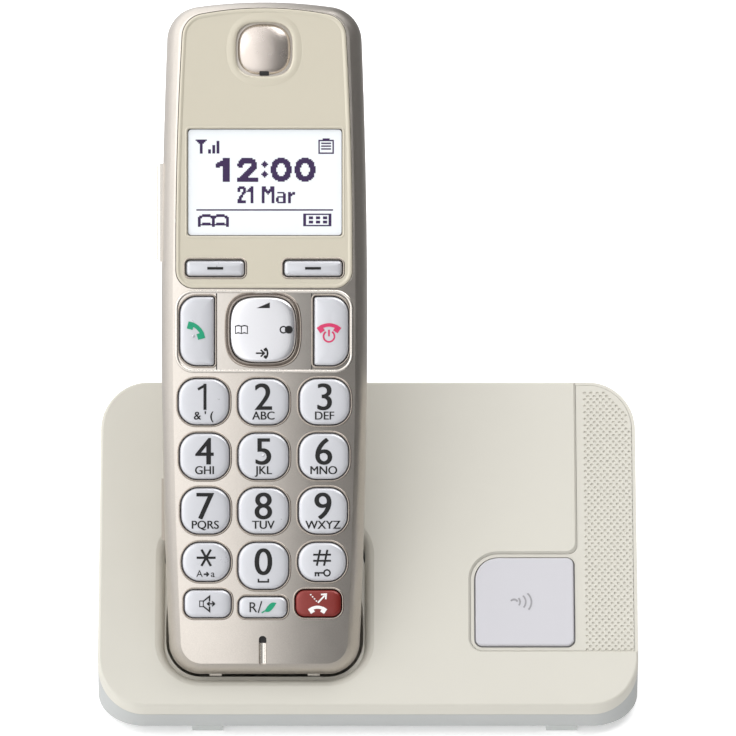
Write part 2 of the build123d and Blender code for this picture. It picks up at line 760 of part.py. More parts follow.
with BuildPart() as display_lens_panel:
    extrude(lens_outline(-lens_thickness + fit_gap), amount=lens_thickness - fit_gap + face_proud)
    extrude(window_outline(-3), amount=5, mode=Mode.SUBTRACT)
    for name in panel_keys:
        extrude(key_outline(name, -3, key_gap), amount=5, mode=Mode.SUBTRACT)
    with Locations(face_plane.location * Location((ear_x, ear_y, 86.6 - 0.5))):
        Sphere(86.6, mode=Mode.SUBTRACT)
    extrude(squircle(face_plane.offset(-3), ear_x, ear_y, 15.0, 14.2), amount=5, mode=Mode.SUBTRACT)
keep(display_lens_panel, "display_lens_panel")

with BuildPart() as function_plate:
    extrude(plate_outline(-plate_thickness + fit_gap), amount=plate_thickness - fit_gap + face_proud)
    for name in function_keys:
        gap = navigator_recess if name == "navigator_key" else key_gap
        extrude(key_outline(name, -3, gap), amount=5, mode=Mode.SUBTRACT)
keep(function_plate, "function_plate")

with BuildPart() as earpiece_cover:
    ear_shape = squircle(face_plane.offset(-lens_thickness + fit_gap), ear_x, ear_y, 14.0, 13.4)
    extrude(ear_shape, amount=lens_thickness + 0.25)
    fillet(earpiece_cover.faces().sort_by(out_of_face)[-1].edges(), 0.5)
    post(face_plane, ear_x, ear_y, (-face_thickness, -lens_thickness + fit_gap), 5.2)
    block(face_plane, (-1.15, 1.15), (ear_y - 5.9, ear_y - 5.1), (-5, 3), mode=Mode.SUBTRACT)
    post(face_plane, ear_x, ear_y, (-3, -1.0), 4.0, mode=Mode.SUBTRACT)
    block(face_plane, (-1.15, 1.15), (ear_y - 5.9, ear_y - 2.5), (-3, -0.8), mode=Mode.SUBTRACT)
keep(earpiece_cover, "earpiece_cover")

with BuildPart() as display_window:
    extrude(window_outline(-face_thickness + 0.1, 0.4), amount=face_thickness - 0.1 - lens_thickness)
    extrude(window_outline(-lens_thickness, -0.1), amount=0.6)
keep(display_window, "display_window")

# ---------------------------------------------------------------- handset: keys
for name in all_keys:
    gap = tilt_gap if name == "navigator_key" else flange_gap
    shoulder = face_thickness + gap
    rise = panel_key_rise if name in panel_keys else key_rise
    sharp = name in panel_keys or name in ("talk_key", "off_key")
    with BuildPart() as key:
        extrude(key_outline(name, -shoulder), amount=shoulder + rise)
        fillet(key.faces().sort_by(out_of_face)[-1].edges(), sharp_key_rounding if sharp else key_rounding)
        flange = key_outline(name, -shoulder - flange_thickness, key_gap + flange_lip)
        extrude(flange, amount=flange_thickness)
    keep(key, name)

with BuildPart() as volume_key:
    block(
        face_plane,
        (-volume_reach, -volume_inside),
        (volume_low, volume_high),
        around(-volume_depth, 1.7),
    )
    outer = volume_key.faces().sort_by(Axis.X)[0]
    fillet(outer.edges(), 0.9)
    block(
        face_plane,
        (-volume_inside - 0.6, -volume_inside),
        (volume_low - 1.0, volume_high + 1.0),
        around(-volume_depth, 2.5),
    )
keep(volume_key, "volume_key")

cover_thickness = 1.6
with BuildPart() as headset_jack_cover:
    with BuildSketch(face_plane.offset(-jack_depth - 2.3)):
        pivot_y = jack_cover_low + cover_thickness / 2
        with Locations((-jack_reach + cover_thickness / 2, (pivot_y + jack_cover_high) / 2)):
            Rectangle(cover_thickness, jack_cover_high - pivot_y)
        with Locations((-jack_reach + cover_thickness / 2, pivot_y)):
            Circle(cover_thickness / 2)
    extrude(amount=4.6)
    plug_x = -jack_reach + cover_thickness + 0.6
    with Locations(face_plane.location * Location((plug_x, jack_y, -jack_depth), (0, 90, 0))):
        Cylinder(1.0, 1.4)
keep(headset_jack_cover, "headset_jack_cover")

# ---------------------------------------------------------------- handset: what is inside
with BuildPart() as handset_circuit_board:
    extrude(handset_outline(board_back, board_inset, 5, 5), amount=board_thickness)
    for x, y in handset_screw_places:
        post(face_plane, x, y, (-board_back - 1, 0), 1.2, mode=Mode.SUBTRACT)
keep(handset_circuit_board, "handset_circuit_board")

with BuildPart() as keypad_mat:
    with BuildSketch(face_plane.offset(-mat_front - mat_thickness)):
        with Locations((0, 62.2)):
            RectangleRounded(43, 97, 5)
    extrude(amount=mat_thickness)
keep(keypad_mat, "keypad_mat")

with BuildPart() as metal_domes:
    for name in all_keys:
        if name == "navigator_key":
            places = [(navigator_x, navigator_y + d) for d in (-6, 6)]
            places += [(navigator_x + d, navigator_y) for d in (-6, 6)]
        elif name in ("talk_key", "off_key"):
            side = -1 if name == "talk_key" else 1
            places = [(-side * (talk_left + talk_right) / 2, (talk_low + talk_high) / 2)]
        else:
            places = [small_keys[name][:2]]
        for x, y in places:
            post(face_plane, x, y, (-board_front, -board_front + 0.35), 1.9)
            post(face_plane, x, y, (-board_front + 0.35, -board_front + dome_height), 1.1)
keep(metal_domes, "metal_domes")

lcd_back = mat_front
with BuildPart() as lcd_module:
    block(face_plane, (-lcd_half, lcd_half), (lcd_low, lcd_high), (-lcd_back, -face_thickness - fit_gap))
keep(lcd_module, "lcd_module")

with BuildPart() as light_guide:
    block(face_plane, (-lcd_half, lcd_half), (lcd_low, lcd_high), (-board_front, -lcd_back - fit_gap))
keep(light_guide, "light_guide")

with BuildPart() as earpiece_speaker:
    post(face_plane, ear_x, ear_y - 1.0, (-board_front + fit_gap, -face_thickness - fit_gap), 6.8)
keep(earpiece_speaker, "earpiece_speaker")

with BuildPart() as microphone:
    post(face_plane, mic_x, mic_y, (-board_front, -face_thickness - fit_gap), 2.0)
keep(microphone, "microphone")

with BuildPart() as loudspeaker:
    speaker_front = -back_depth + rear_wall + speaker_room
    post(face_plane, 0, speaker_y, (speaker_front, speaker_front + 2.4), 9.9)
    post(face_plane, 0, speaker_y, (speaker_front + 2.4, speaker_front + 4.6), 6.0)
keep(loudspeaker, "loudspeaker")

with BuildPart() as handset_antenna:
    block(face_plane, (-14, 14), (160, 166), (-board_back - 0.6, -board_back))
    block(face_plane, (-14, -12), (150, 160), (-board_back - 0.6, -board_back))
keep(handset_antenna, "handset_antenna")

with BuildPart() as headset_jack:
    with Locations(face_plane.location * Location((-18.2, jack_y, -jack_depth), (0, 90, 0))):
        Cylinder(2.9, 7.8)
        Cylinder(1.3, 20, mode=Mode.SUBTRACT)
    block(face_plane, (-22.1, -14.3), around(jack_y, 2.9), (-jack_depth + 1.6, -board_back))
keep(headset_jack, "headset_jack")

with BuildPart() as volume_switch:
    block(face_plane, (-22.3, -19.5), (116, 128), (-board_back - 2.4, -board_back))
keep(volume_switch, "volume_switch")

cell_low, cell_high, cell_radius, cell_depth = 60.2, 104.7, 5.2, 13.8
cell_places = (-5.6, 5.6)
with BuildPart() as battery_cells:
    for x in cell_places:
        cell_middle = Location((x, (cell_low + cell_high) / 2, -cell_depth), (90, 0, 0))
        with Locations(face_plane.location * cell_middle):
            Cylinder(cell_radius, cell_high - cell_low)
    fillet(battery_cells.edges().filter_by(GeomType.CIRCLE), 0.4)
keep(battery_cells, "battery_cells")

with BuildPart() as battery_contacts:
    for x in cell_places:
        block(face_plane, around(x, 4), (bay_low + bay_wall + fit_gap, 57.7), (-18, -9.5))
        block(face_plane, around(x, 4), (105.3, bay_high - bay_wall - fit_gap), (-18, -9.5))
        with Locations(face_plane.location * Location((x, 58.9, -cell_depth), (90, 0, 0))):
            Cylinder(2.6, 2.4)
        with Locations(face_plane.location * Location((x, 105.05, -cell_depth), (90, 0, 0))):
            Cylinder(1.8, 0.6)
keep(battery_contacts, "battery_contacts")

with BuildPart() as handset_charge_contacts:
    for x in (-contact_x, contact_x):
        block(
            face_plane,
            around(x, pad_half_width),
            (pad_front, pad_back),
            around(-contact_depth, pad_half_height),
        )
keep(handset_charge_contacts, "handset_charge_contacts")

with BuildPart() as handset_screws:
    for x, y in handset_screw_places:
        deep = screw_depth(y)
        post(face_plane, x, y, (-deep + 0.6, -deep + 1.95), 2.0)
        post(face_plane, x, y, (-deep + 1.95, -face_thickness - 0.6), 0.85)
keep(handset_screws, "handset_screws")

# ---------------------------------------------------------------- files
os.makedirs("parts", exist_ok=True)
for name, piece in made.items():
    export_step(piece, f"parts/{name}.step")
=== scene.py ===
"""Looks for a cordless telephone standing in its charging base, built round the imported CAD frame.

Lengths are in metres, and MM turns the millimetre values below into metres. Two local frames come from the
CAD: the handset's face (x across, y up the handset, z out of its face) and the base's sloping top.
"""

import json
import math

import bmesh
import bpy
from mathutils import Matrix, Vector


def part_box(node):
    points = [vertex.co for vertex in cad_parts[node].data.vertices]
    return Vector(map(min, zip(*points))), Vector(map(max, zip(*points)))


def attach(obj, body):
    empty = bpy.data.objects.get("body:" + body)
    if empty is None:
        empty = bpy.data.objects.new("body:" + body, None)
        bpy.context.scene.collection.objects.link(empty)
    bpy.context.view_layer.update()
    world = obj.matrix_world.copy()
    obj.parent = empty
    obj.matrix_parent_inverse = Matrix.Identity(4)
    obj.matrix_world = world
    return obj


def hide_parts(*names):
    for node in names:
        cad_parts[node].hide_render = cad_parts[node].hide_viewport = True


MM = 0.001

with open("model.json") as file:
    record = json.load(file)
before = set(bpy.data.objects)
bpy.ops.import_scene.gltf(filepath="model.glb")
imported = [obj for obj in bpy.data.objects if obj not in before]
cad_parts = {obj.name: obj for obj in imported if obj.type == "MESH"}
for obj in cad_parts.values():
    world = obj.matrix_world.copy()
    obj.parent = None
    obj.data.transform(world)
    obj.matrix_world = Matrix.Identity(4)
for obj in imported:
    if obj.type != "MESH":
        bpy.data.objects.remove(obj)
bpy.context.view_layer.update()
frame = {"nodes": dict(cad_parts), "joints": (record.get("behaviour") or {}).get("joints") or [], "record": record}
nodes = frame["nodes"]
joints = {joint["name"]: joint for joint in frame["joints"]}
scene = bpy.context.scene

# ---------------------------------------------------------------- local frames


def axes_frame(y_axis, z_axis):
    """A matrix whose columns are the local x, y and z axes."""
    y_axis, z_axis = Vector(y_axis).normalized(), Vector(z_axis).normalized()
    x_axis = y_axis.cross(z_axis)
    return Matrix((x_axis, y_axis, z_axis)).transposed().to_4x4()


def spans(node, axes):
    """Lowest and highest local coordinates of a CAD node."""
    inverse = axes.inverted()
    points = [inverse @ v.co for v in nodes[node].data.vertices]
    low = Vector([min(p[i] for p in points) for i in range(3)])
    high = Vector([max(p[i] for p in points) for i in range(3)])
    return low, high


def placed(node, axes):
    """A CAD node's middle x and y, its width and height, and its top, in local millimetres."""
    low, high = spans(node, axes)
    middle_x, middle_y = (low.x + high.x) / 2 / MM, (low.y + high.y) / 2 / MM
    return middle_x, middle_y, (high.x - low.x) / MM, (high.y - low.y) / MM, high.z / MM


out_of_face = -Vector(joints["key_5_press"]["axis"])
up_handset = Vector(joints["handset_lift"]["axis"])
out_of_top = -Vector(joints["locator_press"]["axis"])

FACE = axes_frame(up_handset, out_of_face)
low, high = spans("handset_front_housing", FACE)
FACE = FACE @ Matrix.Translation(((low.x + high.x) / 2, low.y, high.z))

TOP = axes_frame(out_of_top.cross(Vector((1, 0, 0))), out_of_top)
low, high = spans("base_top_cover", TOP)
TOP = TOP @ Matrix.Translation((0, low.y, high.z))

# ---------------------------------------------------------------- materials


def srgb(red, green, blue):
    """A display colour from 0 to 255 as a linear colour."""
    linear = []
    for level in (red / 255, green / 255, blue / 255):
        linear.append(level / 12.92 if level < 0.04045 else ((level + 0.055) / 1.055) ** 2.4)
    return tuple(linear) + (1.0,)


def map_range(tree, value, from_range, to_range):
    """A value mapped from one range to another and held inside it."""
    node = tree.nodes.new("ShaderNodeMapRange")
    for label, number in zip(("From Min", "From Max", "To Min", "To Max"), (*from_range, *to_range)):
        node.inputs[label].default_value = number
    tree.links.new(value, node.inputs["Value"])
    return node.outputs["Result"]


GRAIN_DEPTH = 0.03 * MM
FLAKE_DEPTH = 0.02 * MM
NOISE_LOW, NOISE_HIGH = 0.3, 0.7
CROWN_MIDDLE = 95 * MM
CROWN_LENGTHWISE = 0.12


class Paint:
    """A material with its nodes at hand."""

    def __init__(self, name, color, roughness, metallic=0.0, coat=0.0, coat_roughness=0.1):
        self.material = bpy.data.materials.new(name)
        self.material.use_nodes = True
        self.tree = self.material.node_tree
        self.shader = self.tree.nodes["Principled BSDF"]
        self.set("Base Color", color)
        self.set("Roughness", roughness)
        self.set("Metallic", metallic)
        self.set("Coat Weight", coat)
        self.set("Coat Roughness", coat_roughness)
        self.coordinates = self.tree.nodes.new("ShaderNodeTexCoord").outputs["Object"]
        self.relief_input = self.shader.inputs["Normal"]
        self.color = color
        self.roughness = roughness

    def set(self, socket, value):
        self.shader.inputs[socket].default_value = value

    def link(self, output, socket):
        self.tree.links.new(output, socket)

    def noise(self, scale, detail=3.0, rough=0.6):
        """A noise texture's value, at a scale in waves per metre."""
        texture = self.tree.nodes.new("ShaderNodeTexNoise")
        texture.inputs["Scale"].default_value = scale
        texture.inputs["Detail"].default_value = detail
        texture.inputs["Roughness"].default_value = rough
        self.link(self.coordinates, texture.inputs["Vector"])
        return texture.outputs["Fac"]

    def spread(self, value, low, high):
        """A noise value's usual range mapped to a narrow one."""
        return map_range(self.tree, value, (NOISE_LOW, NOISE_HIGH), (low, high))

    def tint(self, value, darker, lighter):
        """The base colour varied between two brightnesses by a value."""
        ramp = self.tree.nodes.new("ShaderNodeValToRGB")
        ends = ((NOISE_LOW, darker), (NOISE_HIGH, lighter))
        for element, (position, factor) in zip(ramp.color_ramp.elements, ends):
            element.position = position
            element.color = [min(c * factor, 1.0) for c in self.color[:3]] + [1.0]
        self.link(value, ramp.inputs["Fac"])
        self.link(ramp.outputs["Color"], self.shader.inputs["Base Color"])

    def bump(self, value, strength, distance):
        """Relief from a value, laid under any relief that the paint already has."""
        node = self.tree.nodes.new("ShaderNodeBump")
        node.inputs["Strength"].default_value = strength
        node.inputs["Distance"].default_value = distance
        self.link(value, node.inputs["Height"])
        self.link(node.outputs["Normal"], self.relief_input)
        self.relief_input = node.inputs["Normal"]

    def math(self, operation, first, second):
        """Two values combined; either may be a plain number."""
        node = self.tree.nodes.new("ShaderNodeMath")
        node.operation = operation
        for socket, value in zip(node.inputs, (first, second)):
            if isinstance(value, float):
                socket.default_value = value
            else:
                self.link(value, socket)
        return node.outputs[0]

    def crowned(self, middle, slope_x, slope_y):
        """Shades a flat face as if it were crowned about a middle: its normals lean outwards."""
        reach = self.tree.nodes.new("ShaderNodeVectorMath")
        reach.operation = "SUBTRACT"
        self.link(self.coordinates, reach.inputs[0])
        reach.inputs[1].default_value = middle
        heights = []
        for direction, slope in (((1, 0, 0), slope_x), (tuple(up_handset), slope_y)):
            along = self.tree.nodes.new("ShaderNodeVectorMath")
            along.operation = "DOT_PRODUCT"
            self.link(reach.outputs[0], along.inputs[0])
            along.inputs[1].default_value = direction
            distance = along.outputs["Value"]
            heights.append(self.math("MULTIPLY", self.math("MULTIPLY", distance, distance), -slope / 2))
        self.bump(self.math("ADD", *heights), 1.0, 1.0)

    def worn(self, rough_spread=0.05, tint_spread=0.02, grain=2500.0, relief=0.15, patches=40.0):
        """Uneven gloss, a slight cloudiness in the colour and a fine grain."""
        cloud = self.noise(patches, 4.0)
        self.tint(cloud, 1.0 - tint_spread, 1.0 + tint_spread)
        low, high = self.roughness - rough_spread, self.roughness + rough_spread
        gloss = self.spread(self.noise(patches * 4, 5.0), low, high)
        self.link(gloss, self.shader.inputs["Roughness"])
        self.bump(self.noise(grain, 2.0), relief, GRAIN_DEPTH)
        return self


def flake_paint(name, color, roughness, metallic, coat, crown=0.0):
    """Metallic paint: sparkling flakes under a thin clear coat."""
    paint = Paint(name, color, roughness, metallic, coat, 0.08)
    flakes = paint.noise(5200.0, 2.0, 0.7)
    paint.tint(flakes, 0.9, 1.08)
    gloss = paint.spread(paint.noise(160.0, 4.0), roughness - 0.03, roughness + 0.04)
    paint.link(gloss, paint.shader.inputs["Roughness"])
    paint.bump(flakes, 0.12, FLAKE_DEPTH)
    if crown:
        paint.crowned(FACE @ Vector((0, CROWN_MIDDLE, 0)), crown, CROWN_LENGTHWISE * crown)
    return paint.material


def plastic(name, color, look, wear, patches=40.0):
    """A paint of one colour with wear: look is for Paint, wear is for Paint.worn."""
    return Paint(name, srgb(*color), *look).worn(*wear, patches)


CROWN = 14.0
COVER_LOOK = (0.42, 0.03, 0.15, 0.3)
cover_paint = plastic("champagne_cover", (203, 200, 190), COVER_LOOK, (0.03, 0.012, 3500.0, 0.10))
housing_plastic = plastic("grey_housing", (176, 178, 177), (0.5,), (0.05, 0.015, 1800.0, 0.4))
handset_paint = flake_paint("handset_metallic", srgb(206, 199, 191), 0.34, 0.88, 0.2, CROWN)
plate_paint = flake_paint("plate_metallic", srgb(203, 197, 190), 0.32, 0.88, 0.2, CROWN)
# Painted highlight: a lighter, glossier copy of the handset paint for the volume key, the panel rim, the plate's
# bead and the microphone groove.
rim_highlight_paint = flake_paint("rim_metallic_painted_highlight", srgb(228, 222, 214), 0.24, 0.92, 0.3)
# Painted shade: a darker copy of the handset paint for the rims round the keys' holes.
key_rim_shade_paint = flake_paint("key_rim_metal_painted_shade", srgb(172, 162, 152), 0.26, 0.9, 0.3)
# Painted shade: a darker copy of the handset paint for the concave ring round the navigator key.
navigator_ring_shade_paint = flake_paint("navigator_ring_painted_shade", srgb(168, 158, 148), 0.22, 0.95, 0.3)
cream_paint = plastic("cream_panel", (203, 196, 178), (0.22, 0.15, 0.6, 0.03), (0.02, 0.01, 5000.0, 0.04))
key_paint = plastic("key_silver", (207, 208, 213), (0.3, 0.35, 0.25, 0.15), (0.03, 0.012, 4200.0, 0.08))
NAVIGATOR_LOOK = (0.2, 0.8, 0.3, 0.1)
navigator_paint = plastic("navigator_silver", (238, 238, 242), NAVIGATOR_LOOK, (0.03, 0.01, 4200.0, 0.04))
ear_paint = plastic("ear_silver", (214, 204, 196), (0.26, 0.85, 0.2, 0.1), (0.03, 0.01, 4200.0, 0.05))
red_paint = plastic("key_red", (132, 42, 36), (0.3, 0.3, 0.3, 0.15), (0.03, 0.02, 4200.0, 0.08))
locator_paint = plastic("locator_silver", (195, 194, 199), (0.5, 0.1, 0.1, 0.3), (0.03, 0.01, 4200.0, 0.08))
rubber = plastic("rubber_foot", (190, 193, 191), (0.75,), (0.06, 0.04, 1200.0, 0.5))
flap_rubber = plastic("rubber_flap", (176, 168, 158), (0.6,), (0.06, 0.03, 1500.0, 0.4))
steel = plastic("screw_steel", (150, 150, 150), (0.35, 1.0), (0.08, 0.05, 2500.0, 0.3))
contact_metal = plastic("contact_metal", (226, 220, 208), (0.2, 1.0), (0.06, 0.03, 2500.0, 0.2))
board_green = plastic("circuit_board", (30, 90, 45), (0.35, 0.0, 0.4), (0.05, 0.05, 1500.0, 0.3))
black_plastic = plastic("black_plastic", (26, 25, 25), (0.5,), (0.06, 0.1, 2000.0, 0.3))
# Painted shade: dark paint laid in the joint round the upper panel and at the display window's inner edge.
gap_shade_paint = plastic("gap_shadow", (58, 50, 44), (0.5,), (0.06, 0.1, 2000.0, 0.2))
white_plastic = plastic("white_plastic", (230, 231, 232), (0.5,), (0.05, 0.02, 2000.0, 0.2))
silicone = plastic("silicone", (200, 202, 205), (0.65,), (0.05, 0.03, 2000.0, 0.2))
cell_sleeve = plastic("cell_sleeve", (60, 120, 170), (0.35, 0.2, 0.4), (0.05, 0.05, 2000.0, 0.1))
DISPLAY_LOOK, DISPLAY_WEAR = (0.14, 0.0, 0.6, 0.03), (0.02, 0.006, 3000.0, 0.02)
display_white = plastic("display_glass", (236, 240, 243), DISPLAY_LOOK, DISPLAY_WEAR, 30.0)
display_white.set("Emission Color", srgb(243, 248, 252))
display_white.set("Emission Strength", 0.03)
display_ink = plastic("display_ink", (48, 22, 74), (0.3,), (0.03, 0.06, 3000.0, 0.05))
black_ink = plastic("legend_black", (7, 7, 8), (0.6,), (0.04, 0.1, 3000.0, 0.1))
sign_ink = plastic("locator_sign_grey", (150, 149, 152), (0.4,), (0.04, 0.05, 3000.0, 0.1))
green_ink = plastic("legend_green", (14, 150, 110), (0.38,), (0.04, 0.05, 3000.0, 0.1))
pink_ink = plastic("legend_pink", (205, 50, 100), (0.38,), (0.04, 0.05, 3000.0, 0.1))
white_ink = plastic("legend_white", (240, 238, 236), (0.38,), (0.04, 0.02, 3000.0, 0.1))
clear = Paint("clear_window", srgb(245, 248, 250), 0.05)
clear.set("Transmission Weight", 0.9)

slot_materials = {
    "champagne_cover": cover_paint.material,
    "grey_housing": housing_plastic.material,
    "textured_trim": cover_paint.material,
    "rubber_foot": rubber.material,
    "screw_steel": steel.material,
    "circuit_board": board_green.material,
    "tinned_metal": steel.material,
    "black_plastic": black_plastic.material,
    "locator_silver": locator_paint.material,
    "contact_metal": contact_metal.material,
    "handset_metallic": handset_paint,
    "cream_panel": cream_paint.material,
    "plate_metallic": plate_paint,
    "ear_silver": ear_paint.material,
    "clear_window": clear.material,
    "key_silver": key_paint.material,
    "navigator_silver": navigator_paint.material,
    "key_red": red_paint.material,
    "rubber_flap": flap_rubber.material,
    "silicone": silicone.material,
    "display_glass": display_white.material,
    "white_plastic": white_plastic.material,
    "cell_sleeve": cell_sleeve.material,
}
slot_of = {part["node"]: part["material_slot"] for part in frame["record"]["subparts"]}
for name, node in nodes.items():
    for material_slot in node.material_slots:
        material_slot.material = slot_materials[slot_of[name]]
# The volume key takes the lighter rim paint: a painted highlight.
nodes["volume_key"].material_slots[0].material = rim_highlight_paint

# ---------------------------------------------------------------- mesh helpers

DRAPE_STEP = 0.9
INK_RISE, INK_ROOT = 0.05, 0.1
LIFT = 0.004
STROKE_FLAT = 0.22


def face_outwards(mesh):
    """Turns every face of a mesh outwards."""
    work = bmesh.new()
    work.from_mesh(mesh)
    bmesh.ops.recalc_face_normals(work, faces=work.faces)
    work.to_mesh(mesh)
    work.free()


def final_mesh(holder):
    """A new mesh of an object as it is with its modifiers or its curve's fill."""
    return bpy.data.meshes.new_from_object(holder.evaluated_get(bpy.context.evaluated_depsgraph_get()))


def filled(curve):
    """The points and faces of a curve's or a text's mesh. The curve is used up."""
    holder = bpy.data.objects.new(curve.name, curve)
    scene.collection.objects.link(holder)
    mesh = final_mesh(holder)
    points = [v.co.copy() for v in mesh.vertices]
    faces = [list(p.vertices) for p in mesh.polygons]
    bpy.data.objects.remove(holder)
    bpy.data.curves.remove(curve)
    bpy.data.meshes.remove(mesh)
    return points, faces


class Shape:
    """Vertices and faces gathered in a local frame, in millimetres."""

    def __init__(self):
        self.points = []
        self.faces = []

    def add(self, points, faces):
        start = len(self.points)
        self.points += [Vector(p) for p in points]
        self.faces += [[start + i for i in face] for face in faces]

    def drape(self, height):
        """Cuts long edges and lowers every point by what a height function gives at its place."""
        mesh = bpy.data.meshes.new("drape")
        mesh.from_pydata(self.points, [], self.faces)
        work = bmesh.new()
        work.from_mesh(mesh)
        for _ in range(3):
            long_edges = [e for e in work.edges if e.calc_length() > DRAPE_STEP]
            bmesh.ops.subdivide_edges(work, edges=long_edges, cuts=1)
        work.verts.index_update()
        lowered = [(v.co.x, v.co.y, v.co.z + height(v.co.x, v.co.y)) for v in work.verts]
        self.points = [Vector(p) for p in lowered]
        self.faces = [[v.index for v in face.verts] for face in work.faces]
        work.free()
        bpy.data.meshes.remove(mesh)

    def piece(self, name, axes, body, slot, material, smooth=False):
        """Makes the gathered mesh a piece that rides on a body."""
        mesh = bpy.data.meshes.new(name)
        mesh.from_pydata([axes @ (p * MM) for p in self.points], [], self.faces)
        mesh.validate()
        mesh.materials.append(material)
        piece = bpy.data.objects.new(name, mesh)
        scene.collection.objects.link(piece)
        face_outwards(mesh)
        if smooth:
            mesh.shade_smooth()
        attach(piece, body)
        return piece


def lofted(shape, loops, closed_ends=False):
    """Joins closed loops of equally many points with quads."""
    count = len(loops[0])
    points = [p for loop in loops for p in loop]
    faces = []
    for row in range(len(loops) - 1):
        for i in range(count):
            j = (i + 1) % count
            here, there = row * count, (row + 1) * count
            faces.append([here + i, here + j, there + j, there + i])
    if closed_ends:
        faces.append(list(range(count))[::-1])
        faces.append([(len(loops) - 1) * count + i for i in range(count)])
    shape.add(points, faces)


def slab(shape, loop, bottom, top):
    """A closed thin plate of an outline."""
    lofted(shape, [[(x, y, z) for x, y in loop] for z in (bottom, top)], closed_ends=True)


def ring(shape, profile, outline, base=0.0):
    """A band round an outline: the profile's points give its growth and height."""
    lofted(shape, [[(x, y, base + z) for x, y in outline(growth)] for growth, z in profile])


def rounded(x, y, wide, tall, corners, steps=8):
    """A rectangle about a centre, with corner radii anticlockwise from the upper right."""
    loop = []
    signs = ((1, 1), (-1, 1), (-1, -1), (1, -1))
    for quarter, (sign_x, sign_y) in enumerate(signs):
        radius = max(corners[quarter], 0.01)
        centre_x = x + sign_x * (wide / 2 - radius)
        centre_y = y + sign_y * (tall / 2 - radius)
        for step in range(steps + 1):
            angle = math.radians(90 * quarter + 90 * step / steps)
            place = centre_x + radius * math.cos(angle), centre_y + radius * math.sin(angle)
            loop.append(place)
    return loop


def squircle(x, y, wide, tall, power=3.2, steps=72):
    """A closed curve between an ellipse and a rectangle."""
    loop = []
    for step in range(steps):
        angle = 2 * math.pi * step / steps
        c, s = math.cos(angle), math.sin(angle)
        reach = (abs(c) ** power + abs(s) ** power) ** (-1 / power)
        loop.append((x + wide / 2 * reach * c, y + tall / 2 * reach * s))
    return loop


def text_mesh(text):
    """A text in the built-in typeface at size 1, filled, as points and faces."""
    curve = bpy.data.curves.new("lettering", "FONT")
    curve.body = text
    curve.size = 1.0
    curve.resolution_u = 6
    return filled(curve)


capital = [p.y for p in text_mesh("H")[0]]
FONT_CAP = max(capital) - min(capital)


def lettering(shape, text, x, y, cap_height, top, bolder=0.0):
    """Text centred on a point as thin raised ink, printed twice side by side if it is bolder."""
    if bolder:
        lettering(shape, text, x + bolder, y, cap_height, top + LIFT)
        x -= bolder
    outline, faces = text_mesh(text)
    scale = cap_height / FONT_CAP
    xs = [p.x for p in outline]
    middle_x, middle_y = (min(xs) + max(xs)) / 2, FONT_CAP / 2
    flat = [((p.x - middle_x) * scale + x, (p.y - middle_y) * scale + y) for p in outline]
    count = len(flat)
    points = [(px, py, z) for z in (top + INK_RISE, top - INK_ROOT) for px, py in flat]
    edges = {(a, b) for face in faces for a, b in zip(face, face[1:] + face[:1])}
    walls = [[b, a, a + count, b + count] for a, b in edges if (b, a) not in edges]
    shape.add(points, faces + sorted(walls))


def ribbon(shape, points, width, top, rise=INK_RISE):
    """A flat stroke of ink with square ends and mitred corners."""
    lines = [Vector(p) for p in points]
    sides = []
    for i, point in enumerate(lines):
        before = (point - lines[i - 1]).normalized() if i else (lines[1] - point).normalized()
        after = (lines[i + 1] - point).normalized() if i + 1 < len(lines) else before
        along = (before + after).normalized()
        across = Vector((-along.y, along.x)) * (width / 2 / max(along.dot(after), 0.35))
        sides.append((point + across, point - across))
    loop = [s[0] for s in sides] + [s[1] for s in reversed(sides)]
    count = len(sides)
    upper = [(p.x, p.y, top + rise) for p in loop]
    lower = [(p.x, p.y, top - INK_ROOT) for p in loop]
    total = len(loop)
    faces = [[i, i + 1, total - 2 - i, total - 1 - i] for i in range(count - 1)]
    faces += [[i, (i + 1) % total, (i + 1) % total + total, i + total] for i in range(total)]
    shape.add(upper + lower, faces)


def stroke(shape, points, width, top, cyclic=False):
    """A line of ink with round ends along points."""
    curve = bpy.data.curves.new("stroke", "CURVE")
    curve.dimensions = "3D"
    curve.bevel_depth = width / 2
    curve.bevel_resolution = 3
    curve.use_fill_caps = True
    spline = curve.splines.new("POLY")
    spline.points.add(len(points) - 1)
    for point, (x, y) in zip(spline.points, points):
        point.co = (x, y, 0, 1)
    spline.use_cyclic_u = cyclic
    mesh_points, faces = filled(curve)
    shape.add([(p.x, p.y, top + p.z * STROKE_FLAT) for p in mesh_points], faces)


def arc(x, y, radius, start, end, steps):
    """Points along an arc, in degrees."""
    angles = [math.radians(start + (end - start) * step / steps) for step in range(steps + 1)]
    return [(x + radius * math.cos(a), y + radius * math.sin(a)) for a in angles]


# ---------------------------------------------------------------- where the keys are

FLANGE_OVERHANG = 0.78
FLANGE_THICKNESS = 0.55
DIAL_CORNER = 4.6
KEY_CROWN = 0.22
CAP_EDGE = (
    (0.0, 1.1), (0.0, 0.85), (0.05, 0.6), (0.2, 0.36), (0.45, 0.19), (0.8, 0.09), (1.3, 0.035),
    (2.0, 0.01), (3.0, 0.0), (4.2, 0.0),
)
CAP_CORNERS = {
    "soft_key_left": [1.0] * 4,
    "soft_key_right": [1.0] * 4,
    "recall_key": [1.8] * 4,
    "speakerphone_key": [2.4] * 4,
    "call_block_key": [2.4] * 4,
    "talk_key": [0.6, 4.4, 4.4, 0.6],
    "off_key": [4.4, 0.6, 0.6, 4.4],
}
all_keys = [name for name in nodes if f"{name}_press" in joints and name != "locator_button"]
all_keys.append("navigator_key")


